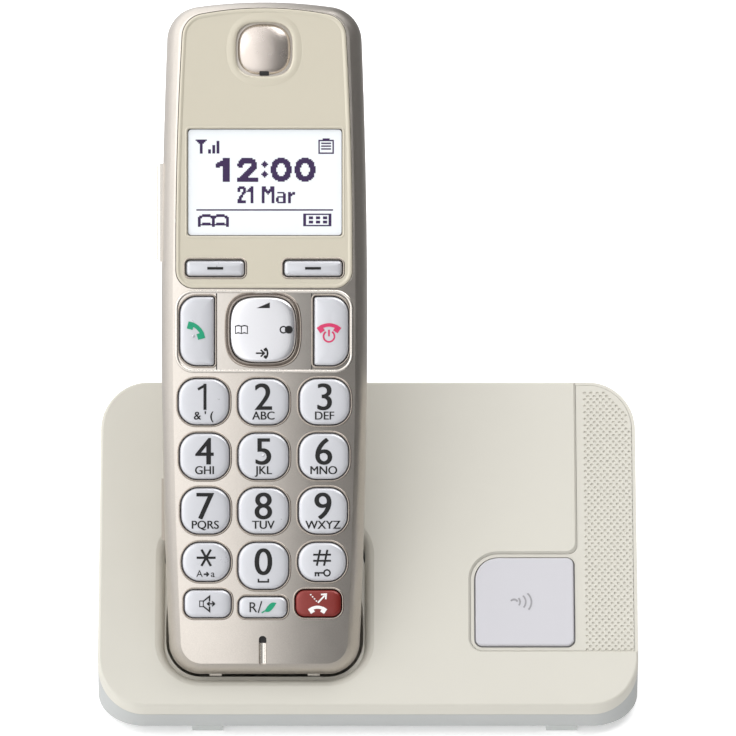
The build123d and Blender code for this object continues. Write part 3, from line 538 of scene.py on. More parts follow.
class Key:
    """A face key: its cap's middle, size and top as the CAD has them, in face millimetres."""

    def __init__(self, name):
        self.name = name
        self.x, self.y, wide, tall, self.top = placed(name, FACE)
        self.wide, self.tall = wide - 2 * FLANGE_OVERHANG, tall - 2 * FLANGE_OVERHANG
        self.bottom = spans(name, FACE)[0].z / MM
        self.corners = CAP_CORNERS.get(name, [DIAL_CORNER] * 4)

    def outline(self, growth):
        """The cap's outline, moved outwards by a growth."""
        wide, tall = self.wide + 2 * growth, self.tall + 2 * growth
        if self.name == "navigator_key":
            return squircle(self.x, self.y, wide, tall)
        return rounded(self.x, self.y, wide, tall, [c + growth for c in self.corners])

    def crown(self, x, y):
        """How far the crowned cap falls below its top at a place."""
        reach = ((x - self.x) / self.wide) ** 2 + ((y - self.y) / self.tall) ** 2
        return -KEY_CROWN * 4 * reach

    def cap(self, material, slot):
        """The moulded cap with its flange below and its softly rounded, crowned top."""
        shape = Shape()
        flange_top = self.bottom + FLANGE_THICKNESS
        flange = ((FLANGE_OVERHANG, self.bottom), (FLANGE_OVERHANG, flange_top), (0, flange_top))
        loops = [[(x, y, z) for x, y in self.outline(growth)] for growth, z in flange]
        widest_inset = min(self.wide, self.tall) / 2 - 0.2
        for inset, drop in CAP_EDGE:
            if inset < widest_inset:
                loop = self.outline(-inset)
                crowned = [self.top - drop + self.crown(x, y) for x, y in loop]
                loops.append([(x, y, max(z, flange_top)) for (x, y), z in zip(loop, crowned)])
        lofted(shape, loops)
        count = len(loops[0])
        start = len(shape.points) - count
        middle = len(shape.points)
        shape.points.append(Vector((self.x, self.y, self.top)))
        shape.faces += [[start + i, start + (i + 1) % count, middle] for i in range(count)]
        shape.faces.append(list(range(count)))
        piece = shape.piece(f"cap_{self.name}", FACE, self.name, slot, material, smooth=True)
        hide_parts(self.name)
        return piece


keys = {name: Key(name) for name in all_keys}

cap_finish = {
    "navigator_key": (navigator_paint, "navigator_silver"),
    "call_block_key": (red_paint, "key_red"),
}
for name, key in keys.items():
    paint, slot = cap_finish.get(name, (key_paint, "key_silver"))
    key.cap(paint.material, slot)

# ---------------------------------------------------------------- rims round the keys

rims = Shape()
RIM_PROFILE = (
    (0.27, -0.7), (0.27, -0.05), (0.33, 0.06), (0.45, 0.11), (0.58, 0.10), (0.70, 0.04), (0.78, -0.03),
)
ON_RAISED_PANEL = ("soft_key_left", "soft_key_right", "talk_key", "off_key")
PANEL_RISE = 0.1
for key in keys.values():
    if key.name != "navigator_key":
        ring(rims, RIM_PROFILE, key.outline, PANEL_RISE if key.name in ON_RAISED_PANEL else 0.0)
# The rims take the darker key rim paint: painted shade round the holes.
rims.piece("key_rims", FACE, "handset", "handset_metallic", key_rim_shade_paint, smooth=True)

navigator_ring = Shape()
RING_PROFILE = (
    (0.27, -0.72), (0.5, -0.68), (0.8, -0.45), (1.05, -0.05), (1.2, 0.22), (1.34, 0.28), (1.5, 0.2),
    (1.6, 0.07),
)
ring(navigator_ring, RING_PROFILE, keys["navigator_key"].outline)
# The ring takes the darker navigator ring paint: painted shade in its hollow.
navigator_ring.piece("navigator_ring", FACE, "handset", "plate_metallic", navigator_ring_shade_paint, smooth=True)

# ---------------------------------------------------------------- lettering and signs on the keys


class Ink(Shape):
    """The printed signs on a key, drawn in millimetres from its middle."""

    def __init__(self, name):
        super().__init__()
        self.key = keys[name]

    def at_key(self, points):
        return [(self.key.x + x, self.key.y + y) for x, y in points]

    def line(self, points, width, lift=0.0):
        ribbon(self, self.at_key(points), width, self.key.top + lift)

    def round_line(self, points, width, cyclic=True):
        stroke(self, self.at_key(points), width, self.key.top, cyclic)

    def plate(self, points, rise=INK_RISE):
        slab(self, self.at_key(points), self.key.top - INK_ROOT, self.key.top + rise)

    def text(self, text, x, y, height, bolder=0.0):
        lettering(self, text, self.key.x + x, self.key.y + y, height, self.key.top, bolder)

    def receiver(self, x, y, radius, start, end, width):
        """A curved telephone receiver: an arc with a thicker block across each end."""
        self.line(arc(x, y, radius, start, end, 16), width)
        inner, outer = radius - 1.35 * width, radius + 0.5 * width
        for angle in (start + 7, end - 7):
            c, s = math.cos(math.radians(angle)), math.sin(math.radians(angle))
            block = [(x + reach * c, y + reach * s) for reach in (inner, outer)]
            self.line(block, width * 1.5, LIFT)

    def print(self, paint, slot="key_silver", suffix=""):
        """Lays the signs on the key's crowned cap."""
        self.drape(self.key.crown)
        self.piece(f"legend_{self.key.name}{suffix}", FACE, self.key.name, slot, paint.material)


DIGIT_HEIGHT, DIGIT_RISE, ZERO_RISE = 6.9, 1.3, 1.1
LETTER_HEIGHT, LETTER_DROP = 2.1, 3.65
DIGIT_BOLD, LETTER_BOLD = 0.12, 0.06
LETTERS = {
    "key_1": "& ' (", "key_2": "ABC", "key_3": "DEF", "key_4": "GHI", "key_5": "JKL",
    "key_6": "MNO", "key_7": "PQRS", "key_8": "TUV", "key_9": "WXYZ",
}
for name, letters in LETTERS.items():
    ink = Ink(name)
    if name == "key_1":
        foot, head = DIGIT_RISE - DIGIT_HEIGHT / 2, DIGIT_RISE + DIGIT_HEIGHT / 2
        ink.line([(0.35, foot), (0.35, head)], 0.8)
        ink.line([(0.45, head - 0.35), (-1.5, head - 1.5)], 0.66, LIFT)
    else:
        ink.text(name[-1], 0, DIGIT_RISE, DIGIT_HEIGHT, DIGIT_BOLD)
    ink.text(letters, 0, -LETTER_DROP, LETTER_HEIGHT, LETTER_BOLD)
    ink.print(black_ink)

ink = Ink("key_0")
ink.text("0", 0, ZERO_RISE, DIGIT_HEIGHT, DIGIT_BOLD)
ink.line([(-1.3, -3.4), (-1.3, -4.2), (1.3, -4.2), (1.3, -3.4)], 0.42)
ink.print(black_ink)

ink = Ink("key_star")
for turn in range(3):
    a = math.radians(60 * turn)
    x, y = 2.5 * math.cos(a), 2.5 * math.sin(a)
    ink.line([(-x, 1.1 - y), (x, 1.1 + y)], 0.6, LIFT * turn)
ink.text("A", -1.75, -3.1, 1.75)
ink.text("a", 1.75, -3.1, 1.75)
ink.line([(-0.65, -3.25), (0.3, -3.25)], 0.42)
ink.line([(0.1, -2.7), (0.6, -3.25), (0.1, -3.8)], 0.36, LIFT)
ink.print(black_ink)

ink = Ink("key_hash")
for shift in (-0.95, 0.95):
    ink.line([(shift - 0.45, -1.0), (shift + 0.45, 3.2)], 0.52)
    ink.line([(-2.35, 1.1 + shift * 0.85), (2.35, 1.1 + shift * 0.85)], 0.5, LIFT)
ink.round_line(arc(1.3, -2.9, 0.8, 0, 360, 18), 0.42)
ink.line([(0.5, -2.9), (-2.0, -2.9)], 0.42)
for notch in (-1.75, -0.95):
    ink.line([(notch, -2.9), (notch, -3.8)], 0.4, LIFT)
ink.print(black_ink)

ink = Ink("speakerphone_key")
ink.round_line([(-2.1, -0.75), (-2.1, 0.75), (-1.15, 0.75), (-1.15, -0.75)], 0.36)
for up in (-1, 1):
    ink.line([(-1.1, 0.7 * up), (0.5, 2.0 * up), (0.5, 0.7 * up)], 0.36)
    ink.line([(-0.1, 0), (0.55, 0.5 * up)], 0.34, LIFT)
    ink.line([(1.15, 0.62 * up), (1.9, 0)], 0.34, LIFT)
ink.line([(-0.2, 0), (1.8, 0)], 0.34)
ink.print(black_ink)

ink = Ink("recall_key")
ink.text("R", -2.5, 0, 2.6)
ink.line([(-1.2, -1.5), (-0.3, 1.6)], 0.3)
ink.print(black_ink)
leaf = Ink("recall_key")
LEAF_X, LEAF_STEPS = 2.0, 10
half = []
for step in range(LEAF_STEPS):
    t = step / LEAF_STEPS
    half.append((-1.6 + 3.2 * t, -1.1 + 2.2 * t + math.sin(math.pi * t)))
leaf.plate([(LEAF_X + x, y) for x, y in half] + [(LEAF_X - x, -y) for x, y in half])
leaf.line([(LEAF_X - 2.3, -1.5), (LEAF_X - 1.4, -0.95)], 0.34)
leaf.print(green_ink, suffix="_leaf")

ink = Ink("call_block_key")
ink.receiver(-0.2, -4.3, 3.3, 50, 130, 0.8)
ink.line([(-0.1, 0.2), (1.7, 2.1)], 0.42)
ink.line([(0.7, 2.35), (2.05, 2.45), (1.95, 1.1)], 0.42, LIFT)
for step in range(4):
    x, y = -2.0 + 0.5 * step, 2.3 - 0.55 * step
    ink.line([(x - 0.12, y + 0.13), (x + 0.12, y - 0.13)], 0.34)
ink.print(white_ink, "key_red")

ink = Ink("talk_key")
ink.receiver(-2.7, -2.3, 4.3, 8, 82, 1.05)
ink.print(green_ink)

ink = Ink("off_key")
ink.receiver(-0.6, -2.6, 4.2, 48, 132, 0.95)
ink.round_line(arc(-0.6, -1.4, 1.45, 125, 415, 24), 0.46, cyclic=False)
ink.line([(-0.6, -1.4), (-0.6, 0.35)], 0.46)
ink.print(pink_ink)

ink = Ink("navigator_key")
ink.plate([(-1.7, 5.7), (1.8, 5.7), (1.8, 7.2)])
for x in (-6.5, -4.9):
    page = [(x - 0.8, -1.0), (x - 0.8, 0.9), (x, 1.1), (x + 0.8, 0.9), (x + 0.8, -1.0), (x, -0.8)]
    ink.round_line(page, 0.36)
ink.round_line(arc(5.4, 0, 0.85, 0, 360, 18), 0.38)
ink.plate(arc(6.8, 0, 1.05, 0, 345, 23), INK_RISE + 0.005)
ink.line([(-1.9, -6.2), (0.3, -6.2)], 0.42)
ink.line([(-0.6, -5.3), (0.35, -6.2), (-0.6, -7.1)], 0.42, LIFT)
ink.receiver(-0.75, -6.2, 1.95, -42, 42, 0.5)
ink.print(black_ink, "navigator_silver")

for name in ("soft_key_left", "soft_key_right"):
    ink = Ink(name)
    ink.line([(-2.1, 0), (2.1, 0)], 0.68)
    ink.print(black_ink)

NIB_RADIUS, NIB_RISE, NIB_ROOT = 0.42, 0.3, 0.05


def nib(name, x, y):
    """A small raised dome that a finger finds, at a place from the key's middle."""
    shape = Shape()
    key = keys[name]
    loops = []
    for step in range(5):
        a = math.radians(22 * step)
        z = key.top - NIB_ROOT + NIB_RISE * math.sin(a)
        circle = arc(0, 0, NIB_RADIUS, 0, 337.5, 15)
        loops.append([(key.x + x + px * math.cos(a), key.y + y + py * math.cos(a), z) for px, py in circle])
    lofted(shape, loops, closed_ends=True)
    shape.drape(key.crown)
    shape.piece(f"nib_{name}", FACE, name, "key_silver", key_paint.material, smooth=True)


nib("key_5", 0, 0.3)
nib("talk_key", -1.0, -1.3)

# ---------------------------------------------------------------- display

WINDOW_CLEARANCE = 0.4
SHEET_EDGE, SHEET_RISE = 0.45, 0.12
window_x, window_y, wide, tall, window_top = placed("display_window", FACE)
window_wide, window_tall = wide - 2 * WINDOW_CLEARANCE, tall - 2 * WINDOW_CLEARANCE
sheet_top = window_top + SHEET_RISE


def window_outline(growth, corner):
    """The display window's outline, moved outwards by a growth."""
    wide, tall = window_wide + 2 * growth, window_tall + 2 * growth
    return rounded(window_x, window_y, wide, tall, [corner] * 4)


sheet = Shape()
SHEET_LAYERS = ((0.25, 1.0, -0.3), (0.1, 0.9, -0.08), (0.0, 0.8, 0.0))
sheet_loops = []
for growth, corner, z in SHEET_LAYERS:
    loop = window_outline(growth - SHEET_EDGE, corner)
    sheet_loops.append([(x, y, sheet_top + z) for x, y in loop])
lofted(sheet, sheet_loops, closed_ends=True)
sheet.piece("display_sheet", FACE, "handset", "display_glass", display_white.material)

bezel = Shape()
BEZEL_PROFILE = ((-0.42, -0.75), (-0.3, -0.25), (-0.12, 0.1), (0.06, 0.2), (0.25, 0.19), (0.4, 0.09))
ring(bezel, BEZEL_PROFILE, lambda growth: window_outline(growth, 1.0 + max(growth, -0.4)))
bezel.piece("display_bezel", FACE, "handset", "cream_panel", cream_paint.material, smooth=True)

DOT = 0.372
DOT_TOP, DOT_ROOT = 0.03, 0.02


def brush(points, width):
    """The display's dots under a round brush drawn along points, counted right and down."""
    dots = set()
    places = [Vector(p) for p in points]
    for start, end in zip(places, places[1:] or places):
        run = end - start
        low = [int(min(start[i], end[i]) - width) for i in range(2)]
        high = [int(max(start[i], end[i]) + width) + 1 for i in range(2)]
        for column in range(low[0], high[0]):
            for row in range(low[1], high[1]):
                reach = Vector((column + 0.5, row + 0.5)) - start
                along = min(max(reach.dot(run) / max(run.length_squared, 1e-6), 0.0), 1.0)
                if (reach - run * along).length <= width / 2:
                    dots.add((column, row))
    return dots


def bar(left, top, wide, tall):
    """A filled block of display dots."""
    return {(column, row) for column in range(left, left + wide) for row in range(top, top + tall)}


def frame_of(left, top, wide, tall, line):
    """The outline of a block of display dots."""
    return bar(left, top, wide, tall) - bar(left + line, top + line, wide - 2 * line, tall - 2 * line)


def draw_dots(shape, dots, left, top):
    """Lays display dots on the sheet from a corner in millimetres, a row's neighbours as one strip."""
    for column, row in sorted(dots):
        if (column - 1, row) in dots:
            continue
        end = column
        while (end, row) in dots:
            end += 1
        x_low, x_high = window_x + left + column * DOT, window_x + left + end * DOT
        y_high = window_y + top - row * DOT
        y_low = y_high - DOT
        loop = [(x_low, y_low), (x_high, y_low), (x_high, y_high), (x_low, y_high)]
        slab(shape, loop, sheet_top - DOT_ROOT, sheet_top + DOT_TOP)


turns = [math.radians(15 * step) for step in range(25)]
zero = brush([(7.5 + 5.3 * math.cos(a), 8.5 + 6.6 * math.sin(a)) for a in turns], 4.3)
one = bar(5, 0, 5, 17) | brush([(7.5, 2.2), (1.5, 5.4)], 3.4)
bend = [(2.2, 5.0), (3.6, 2.6), (7.2, 1.8), (11.0, 2.6), (12.4, 5.2), (11.0, 8.0), (3.0, 15.0)]
two = {dot for dot in brush(bend, 4.2) | bar(0, 14, 15, 3) if 0 <= dot[1] < 17}
colon = brush([(2.5, 1.5)], 4.4) | brush([(2.5, 8.5)], 4.4)
small_bend = [(1.0, 3.0), (1.6, 1.3), (3.0, 1.0), (4.6, 1.3), (5.0, 3.4), (1.0, 10.2)]
small_two = brush(small_bend, 2.1) | bar(0, 10, 6, 2)
small_one = bar(3, 0, 2, 12) | brush([(3.5, 1.5), (1.0, 3.5)], 1.9)
letter_m = bar(0, 0, 2, 12) | bar(7, 0, 2, 12) | brush([(1.5, 0.8), (4.5, 4.6), (7.5, 0.8)], 2.1)
letter_a = bar(5, 1, 2, 7) | bar(1, 0, 5, 1) | bar(1, 3, 5, 1) | bar(0, 4, 2, 3) | bar(1, 7, 4, 1)
letter_r = bar(0, 0, 2, 8) | brush([(1.8, 2.2), (4.2, 0.9)], 2.0)
aerial = bar(0, 0, 8, 1) | bar(3, 0, 2, 10)
aerial |= brush([(0.8, 0.8), (3.8, 3.6)], 1.3) | brush([(7.2, 0.8), (4.2, 3.6)], 1.3)
strength = {dot for step in range(3) for dot in bar(3 * step, 6 - 3 * step, 2, 3 + 3 * step)}
battery = frame_of(0, 1, 11, 10, 1) | bar(3, 0, 5, 1)
battery |= {dot for step in range(3) for dot in bar(2, 3 + 2 * step, 7, 1)}
rule = bar(0, 0, 97, 1)
book = bar(0, 2, 2, 7) | bar(10, 2, 2, 7) | bar(20, 2, 2, 7)
for start in (0, 10):
    for edge, middle in ((2.4, 0.9), (8.0, 6.8)):
        page = [(1.5, edge), (4.0, middle), (8.0, middle), (10.5, edge)]
        book |= brush([(start + x, y) for x, y in page], 1.7)
keypad = frame_of(0, 0, 20, 9, 1) | bar(1, 1, 1, 7) | bar(18, 1, 1, 7)
for step in range(6):
    keypad |= bar(4 + 5 * (step % 3), 2 + 3 * (step // 3), 3, 2)
PICTURE = (
    (one, -13.0, 6.45), (two, -7.35, 6.45), (colon, -1.0, 5.3), (zero, 1.5, 6.5), (zero, 7.8, 6.5),
    (small_two, -7.25, -1.05), (small_one, -4.9, -1.05), (letter_m, -0.85, -1.05),
    (letter_a, 2.9, -2.54), (letter_r, 6.1, -2.54), (aerial, -18.3, 11.3), (strength, -15.0, 10.95),
    (battery, 14.1, 11.6), (rule, -18.1, -7.1), (book, -17.7, -8.4), (keypad, 10.1, -8.25),
)
picture = Shape()
for dots, left, top in PICTURE:
    draw_dots(picture, dots, left, top)
picture.piece("display_picture", FACE, "handset", "display_glass", display_ink.material)

# A dark band round the inside of the display window: painted shade where the window sits below the bezel.
shade = Shape()
SHADE_PROFILE = ((-0.5, -0.04), (-0.42, 0.06), (-0.3, 0.32))
ring(shade, SHADE_PROFILE, lambda growth: window_outline(growth, 0.9), sheet_top)
shade.piece("display_edge_shade", FACE, "handset", "clear_window", gap_shade_paint.material, smooth=True)

# ---------------------------------------------------------------- bead, painted joint shade and painted rim highlight round the upper panel


def top_outline(node):
    """The outer edge of a CAD node's top face, in millimetres on the handset's face."""
    inverse = FACE.inverted()
    mesh = nodes[node].data
    points = [inverse @ v.co / MM for v in mesh.vertices]
    top = max(p.z for p in points)
    edges = {}
    for polygon in mesh.polygons:
        corners = list(polygon.vertices)
        if all(points[i].z > top - 0.01 for i in corners):
            places = [(round(points[i].x, 3), round(points[i].y, 3)) for i in corners]
            for a, b in zip(places, places[1:] + places[:1]):
                edges[(a, b)] = None
    follow = {a: b for a, b in edges if (b, a) not in edges}
    loops = []
    while follow:
        start = next(iter(follow))
        loop, place = [], start
        while place in follow:
            loop.append(place)
            place = follow.pop(place)
        loops.append(loop)
    return max(loops, key=lambda loop: max(p[1] for p in loop) - min(p[1] for p in loop))


def grown(loop, growth):
    """A closed outline moved outwards along its own normals."""
    count = len(loop)
    area = sum(Vector(loop[i - 1]).cross(Vector(loop[i])) for i in range(count))
    sign = 1 if area > 0 else -1
    moved = []
    for i in range(count):
        a, b, c = Vector(loop[i - 1]), Vector(loop[i]), Vector(loop[(i + 1) % count])
        along = ((b - a).normalized() + (c - b).normalized()).normalized()
        moved.append((b.x + sign * along.y * growth, b.y - sign * along.x * growth))
    return moved


panel_edge = top_outline("display_lens_panel")
PANEL_BEAD = ((-1.0, 0.1), (-0.75, 0.22), (-0.4, 0.3), (-0.1, 0.28), (0.08, 0.12), (0.14, -0.05))
PANEL_JOINT = ((0.08, -0.04), (0.1, 0.05), (0.25, 0.05), (0.28, -0.03))
PANEL_RIM = ((0.26, -0.02), (0.29, 0.05), (0.34, 0.06), (0.38, -0.03))
# The joint band is painted shade in dark paint; the rim band is a painted highlight in the lighter rim paint.
for name, profile, slot, material in (
    ("upper_panel_bead", PANEL_BEAD, "cream_panel", cream_paint.material),
    ("upper_panel_joint", PANEL_JOINT, "cream_panel", gap_shade_paint.material),
    ("upper_panel_rim", PANEL_RIM, "handset_metallic", rim_highlight_paint),
):
    band = Shape()
    ring(band, profile, lambda growth: grown(panel_edge, growth))
    band.piece(name, FACE, "handset", slot, material, smooth=True)

# ---------------------------------------------------------------- function plate: outline bead and grooves

plate_x, plate_y, plate_wide, plate_tall, _ = placed("function_plate", FACE)
PLATE_CORNER = 4.6
bead = Shape()
BEAD_PROFILE = (
    (-0.55, 0.08), (-0.45, 0.2), (-0.25, 0.3), (0.0, 0.3), (0.2, 0.2), (0.32, 0.05), (0.34, -0.03),
)


def plate_outline(growth):
    """The function plate's outline, moved outwards by a growth."""
    wide, tall = plate_wide + 2 * growth, plate_tall + 2 * growth
    return rounded(plate_x, plate_y, wide, tall, [PLATE_CORNER + growth] * 4, 12)


ring(bead, BEAD_PROFILE, plate_outline)
# The bead takes the lighter rim paint: a painted highlight.
bead.piece("function_plate_bead", FACE, "handset", "plate_metallic", rim_highlight_paint, smooth=True)

JOINT_X, JOINT_HALF, JOINT_END = 12.55, 0.14, 0.6
JOINT_LOW, JOINT_HIGH = 0.05, 0.115
plate_joints = Shape()
half_tall = plate_tall / 2 - JOINT_END
for x in (plate_x - JOINT_X, plate_x + JOINT_X):
    left, right = x - JOINT_HALF, x + JOINT_HALF
    low_y, high_y = plate_y - half_tall, plate_y + half_tall
    loop = [(left, low_y), (right, low_y), (right, high_y), (left, high_y)]
    slab(plate_joints, loop, JOINT_LOW, JOINT_HIGH)
plate_joints.piece("function_plate_joints", FACE, "handset", "plate_metallic", black_plastic.material)

# ---------------------------------------------------------------- earpiece

ear_x, ear_y, ear_wide, ear_tall, ear_top = placed("earpiece_cover", FACE)
dome = Shape()
DOME = (
    (0.0, 1.2), (0.0, 0.7), (0.08, 0.5), (0.3, 0.36), (0.7, 0.24), (1.3, 0.14), (2.2, 0.06),
    (3.4, 0.02), (5.0, 0.0),
)
EAR_RISE, EAR_CROWN = 0.35, 1.25


def ear_height(x, y):
    """How high the crowned dome stands over the face at a place, before its rounded edge."""
    reach = ((x - ear_x) / ear_wide) ** 2 + ((y - ear_y) / ear_tall) ** 2
    return ear_top + EAR_RISE - EAR_CROWN * 4 * reach


loops = []
for inset, drop in DOME:
    loop = squircle(ear_x, ear_y, ear_wide - 2 * inset, ear_tall - 2 * inset)
    loops.append([(x, y, ear_height(x, y) - drop) for x, y in loop])
lofted(dome, loops, closed_ends=True)
cap_piece = dome.piece("earpiece_dome", FACE, "handset", "ear_silver", ear_paint.material, smooth=True)
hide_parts("earpiece_cover")

# A black plate in the earpiece's slot: painted shade for the dark of the opening.
opening = Shape()
OPENING_WIDE, OPENING_TALL, OPENING_UP = 2.5, 0.95, 0.35
opening_y = ear_y - ear_tall / 2 + OPENING_UP
slab(opening, rounded(ear_x, opening_y, OPENING_WIDE, OPENING_TALL, [0.15] * 4), -0.9, -0.35)
opening.piece("earpiece_opening", FACE, "handset", "ear_silver", black_plastic.material)

dish = Shape()
DISH = (
    (0.45, -0.6), (0.5, -0.05), (0.7, 0.12), (1.0, 0.22), (1.5, 0.24), (2.1, 0.2), (2.7, 0.12),
    (3.1, 0.08),
)


def dish_outline(growth):
    """The outline round the dome, rounder the further it is from it."""
    wide, tall = ear_wide + 2 * growth, ear_tall + 2 * growth
    return squircle(ear_x, ear_y, wide, tall, 3.2 - 0.25 * growth)


ring(dish, DISH, dish_outline)
dish.piece("earpiece_surround", FACE, "handset", "cream_panel", cream_paint.material, smooth=True)

# ---------------------------------------------------------------- microphone port

MIC_X, MIC_Y, MIC_WIDE = -0.4, 9.3, 1.9
# A black plate at the groove's upper end: painted shade for the dark microphone opening.
port = Shape()
slab(port, rounded(MIC_X, MIC_Y, MIC_WIDE, MIC_WIDE, [0.3] * 4), -0.79, -0.55)
port.piece("microphone_port", FACE, "handset", "handset_metallic", black_plastic.material)
groove = Shape()
GROOVE_LOW, GROOVE_HIGH = 2.9, 8.3
TROUGH = (
    (-0.98, 0.0), (-0.86, -0.35), (-0.5, -0.6), (0.0, -0.68), (0.5, -0.6), (0.86, -0.35), (0.98, 0.0),
)
for (x0, z0), (x1, z1) in zip(TROUGH, TROUGH[1:]):
    left, right = MIC_X + x0, MIC_X + x1
    near = [(left, GROOVE_LOW, z0), (right, GROOVE_LOW, z1)]
    far = [(right, GROOVE_HIGH, z1), (left, GROOVE_HIGH, z0)]
    groove.add(near + far, [(0, 1, 2, 3)])
# The groove takes the lighter rim paint: a painted highlight on its walls.
groove.piece("microphone_groove", FACE, "handset", "handset_metallic", rim_highlight_paint, smooth=True)

# ---------------------------------------------------------------- textured strip

strip_top = placed("textured_trim_panel", TOP)[-1]
cover_corner = [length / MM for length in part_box("base_top_cover")[1]]
DOT_LEFT, DOT_RIGHT, DOT_LOW, DOT_HIGH = 58.1, 70.9, 17.5, 92.5
DOT_PITCH_X, DOT_PITCH_Y = 1.685, 0.952
DOT_RADIUS, DOT_DEPTH = 0.44, 0.34
BASE_CORNER, DOT_MARGIN = 12.5, 1.9


def inside_corner(x, y):
    """Whether a place on the strip keeps its distance from the base's rounded back corner."""
    place = TOP @ Vector((x * MM, y * MM, 0))
    over_x = place.x / MM - (cover_corner[0] - BASE_CORNER)
    over_y = place.y / MM - (cover_corner[1] - BASE_CORNER)
    if over_y > BASE_CORNER - DOT_MARGIN:
        return False
    return over_x <= 0 or over_y <= 0 or math.hypot(over_x, over_y) < BASE_CORNER - DOT_MARGIN


punches = Shape()
PUNCH = ((1.0, -0.25), (1.0, 0.0), (0.86, 0.5), (0.5, 0.87), (0.12, 1.0))
rows = int((DOT_HIGH - DOT_LOW) / DOT_PITCH_Y) + 1
for row in range(rows):
    y = DOT_LOW + row * DOT_PITCH_Y
    x = DOT_LEFT + (DOT_PITCH_X / 2 if row % 2 else 0)
    while x <= DOT_RIGHT:
        if inside_corner(x, y):
            rings = []
            for reach, depth in PUNCH:
                circle = arc(x, y, reach * DOT_RADIUS, 0, 330, 11)
                rings.append([(px, py, strip_top - depth * DOT_DEPTH) for px, py in circle])
            lofted(punches, rings, closed_ends=True)
        x += DOT_PITCH_X
strip_mesh = nodes["textured_trim_panel"].data.copy()
strip = bpy.data.objects.new("dimpled_trim_panel", strip_mesh)
scene.collection.objects.link(strip)
cutter_mesh = bpy.data.meshes.new("punches")
cutter_mesh.from_pydata([TOP @ (p * MM) for p in punches.points], [], punches.faces)
cutter = bpy.data.objects.new("punches", cutter_mesh)
scene.collection.objects.link(cutter)
face_outwards(cutter_mesh)
work = bmesh.new()
work.from_mesh(strip_mesh)
bmesh.ops.remove_doubles(work, verts=work.verts, dist=0.001 * MM)
work.to_mesh(strip_mesh)
work.free()
cut = strip.modifiers.new("cut", "BOOLEAN")
cut.operation = "DIFFERENCE"
cut.solver = "EXACT"
cut.object = cutter
result = final_mesh(strip)
strip.modifiers.clear()
strip.data = result
result.materials.clear()
result.materials.append(cover_paint.material)
result.shade_flat()
bpy.data.objects.remove(cutter)
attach(strip, "base")
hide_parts("textured_trim_panel")

# ---------------------------------------------------------------- sign on the locator key

button_x, button_y, _, _, sign_top = placed("locator_button", TOP)
sign_x, sign_y = button_x - 0.5, button_y - 0.2
SIGN_WIDTH, SIGN_RISE = 0.42, 0.09
waves = [arc(sign_x - 2.3, sign_y - 0.2, 0.95, 20, 150, 12)]
waves += [arc(sign_x - 2.2 + 0.55 * step, sign_y, 1.5 + 0.95 * step, -40, 46, 14) for step in range(3)]
sign = Shape()
for wave in waves:
    ribbon(sign, wave, SIGN_WIDTH, sign_top, SIGN_RISE)
sign.piece("locator_sign", TOP, "locator_button", "locator_silver", sign_ink.material)

# ---------------------------------------------------------------- camera

CAMERA_DISTANCE = 2.3
CAMERA_RISE = 80.9 * MM
FIELD_WIDE = 194.2 * MM
SENSOR = 36.0
face_origin = FACE.translation
target = Vector((0, face_origin.y, face_origin.z)) + up_handset * CAMERA_RISE
camera_data = bpy.data.cameras.new("camera")
camera_data.sensor_width = SENSOR
camera_data.lens = SENSOR * CAMERA_DISTANCE / FIELD_WIDE
camera_data.clip_start = 0.05
camera_data.clip_end = 20.0
camera = bpy.data.objects.new("camera", camera_data)
scene.collection.objects.link(camera)
camera.location = target + out_of_face * CAMERA_DISTANCE
camera.rotation_euler = (-out_of_face).to_track_quat("-Z", "Y").to_euler()
scene.camera = camera

# ---------------------------------------------------------------- floor and light

FLOOR = 3.0
floor_mesh = bpy.data.meshes.new("floor")
corners = [(-FLOOR, -FLOOR, 0), (FLOOR, -FLOOR, 0), (FLOOR, FLOOR, 0), (-FLOOR, FLOOR, 0)]
floor_mesh.from_pydata(corners, [], [(0, 1, 2, 3)])
floor = bpy.data.objects.new("floor", floor_mesh)
scene.collection.objects.link(floor)
floor_paint = plastic("floor_paper", (250, 250, 250), (0.8,), (0.05, 0.003, 300.0, 0.05))
floor_paint.set("Emission Color", (1.0, 1.0, 1.0, 1.0))
floor_paint.set("Emission Strength", 0.3)
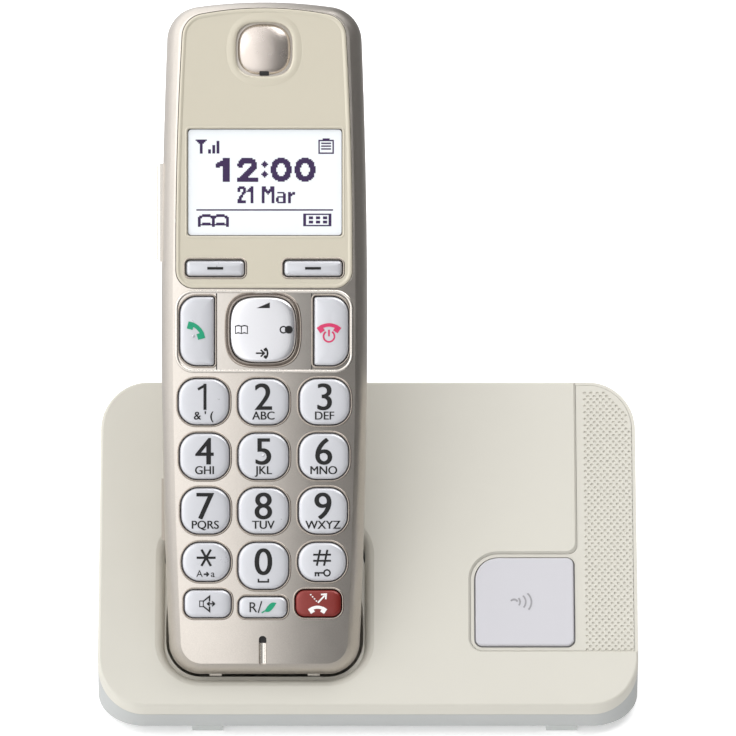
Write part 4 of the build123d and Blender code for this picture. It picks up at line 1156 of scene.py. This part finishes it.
# Painted light: in glossy reflections the floor glows, brighter on the left than on the right, as the studio does.
FLOOR_SPAN, FLOOR_LEVELS = (-0.3, 0.25), (1.0, 0.08)
floor_nodes = floor_paint.tree.nodes
mirrored = floor_nodes.new("ShaderNodeEmission")
place = floor_nodes.new("ShaderNodeSeparateXYZ")
floor_paint.link(floor_paint.coordinates, place.inputs[0])
level = map_range(floor_paint.tree, place.outputs["X"], FLOOR_SPAN, FLOOR_LEVELS)
floor_paint.link(level, mirrored.inputs["Strength"])
path = floor_nodes.new("ShaderNodeLightPath")
choice = floor_nodes.new("ShaderNodeMixShader")
floor_paint.link(path.outputs["Is Glossy Ray"], choice.inputs[0])
floor_paint.link(floor_paint.shader.outputs[0], choice.inputs[1])
floor_paint.link(mirrored.outputs[0], choice.inputs[2])
floor_paint.link(choice.outputs[0], floor_nodes["Material Output"].inputs["Surface"])
floor_mesh.materials.append(floor_paint.material)

world = bpy.data.worlds.new("studio")
scene.world = world
world.use_nodes = True
sky = world.node_tree
# Brightness of the surroundings from left to right.
SKY = ((0.0, 2.0), (0.36, 1.7), (0.5, 1.05), (0.66, 0.26), (1.0, 0.03))
direction = sky.nodes.new("ShaderNodeTexCoord")
parts = sky.nodes.new("ShaderNodeSeparateXYZ")
sky.links.new(direction.outputs["Generated"], parts.inputs[0])
across = map_range(sky, parts.outputs["X"], (-1.0, 1.0), (0.0, 1.0))
ramp = sky.nodes.new("ShaderNodeValToRGB")
sky.links.new(across, ramp.inputs["Fac"])
while len(ramp.color_ramp.elements) < len(SKY):
    ramp.color_ramp.elements.new(0.5)
for element, (place, level) in zip(ramp.color_ramp.elements, SKY):
    element.position = place
    element.color = (level, level, level, 1.0)
sky.links.new(ramp.outputs["Color"], sky.nodes["Background"].inputs["Color"])
sky.nodes["Background"].inputs["Strength"].default_value = 0.85


def softbox(name, place, aim, size, power):
    """A square studio light at a place, turned to a point."""
    data = bpy.data.lights.new(name, "AREA")
    data.shape = "RECTANGLE"
    data.size, data.size_y = size, size
    data.energy = power
    light = bpy.data.objects.new(name, data)
    scene.collection.objects.link(light)
    light.location = place
    light.rotation_euler = (Vector(aim) - Vector(place)).to_track_quat("-Z", "Y").to_euler()


softbox("top_light", (0.42, 0.3, 0.85), (0.04, 0, 0), 0.8, 6.0)
softbox("left_light", (-0.9, -0.3, 0.9), (0, 0, 0.06), 0.7, 1.4)

scene.view_settings.view_transform = "Standard"
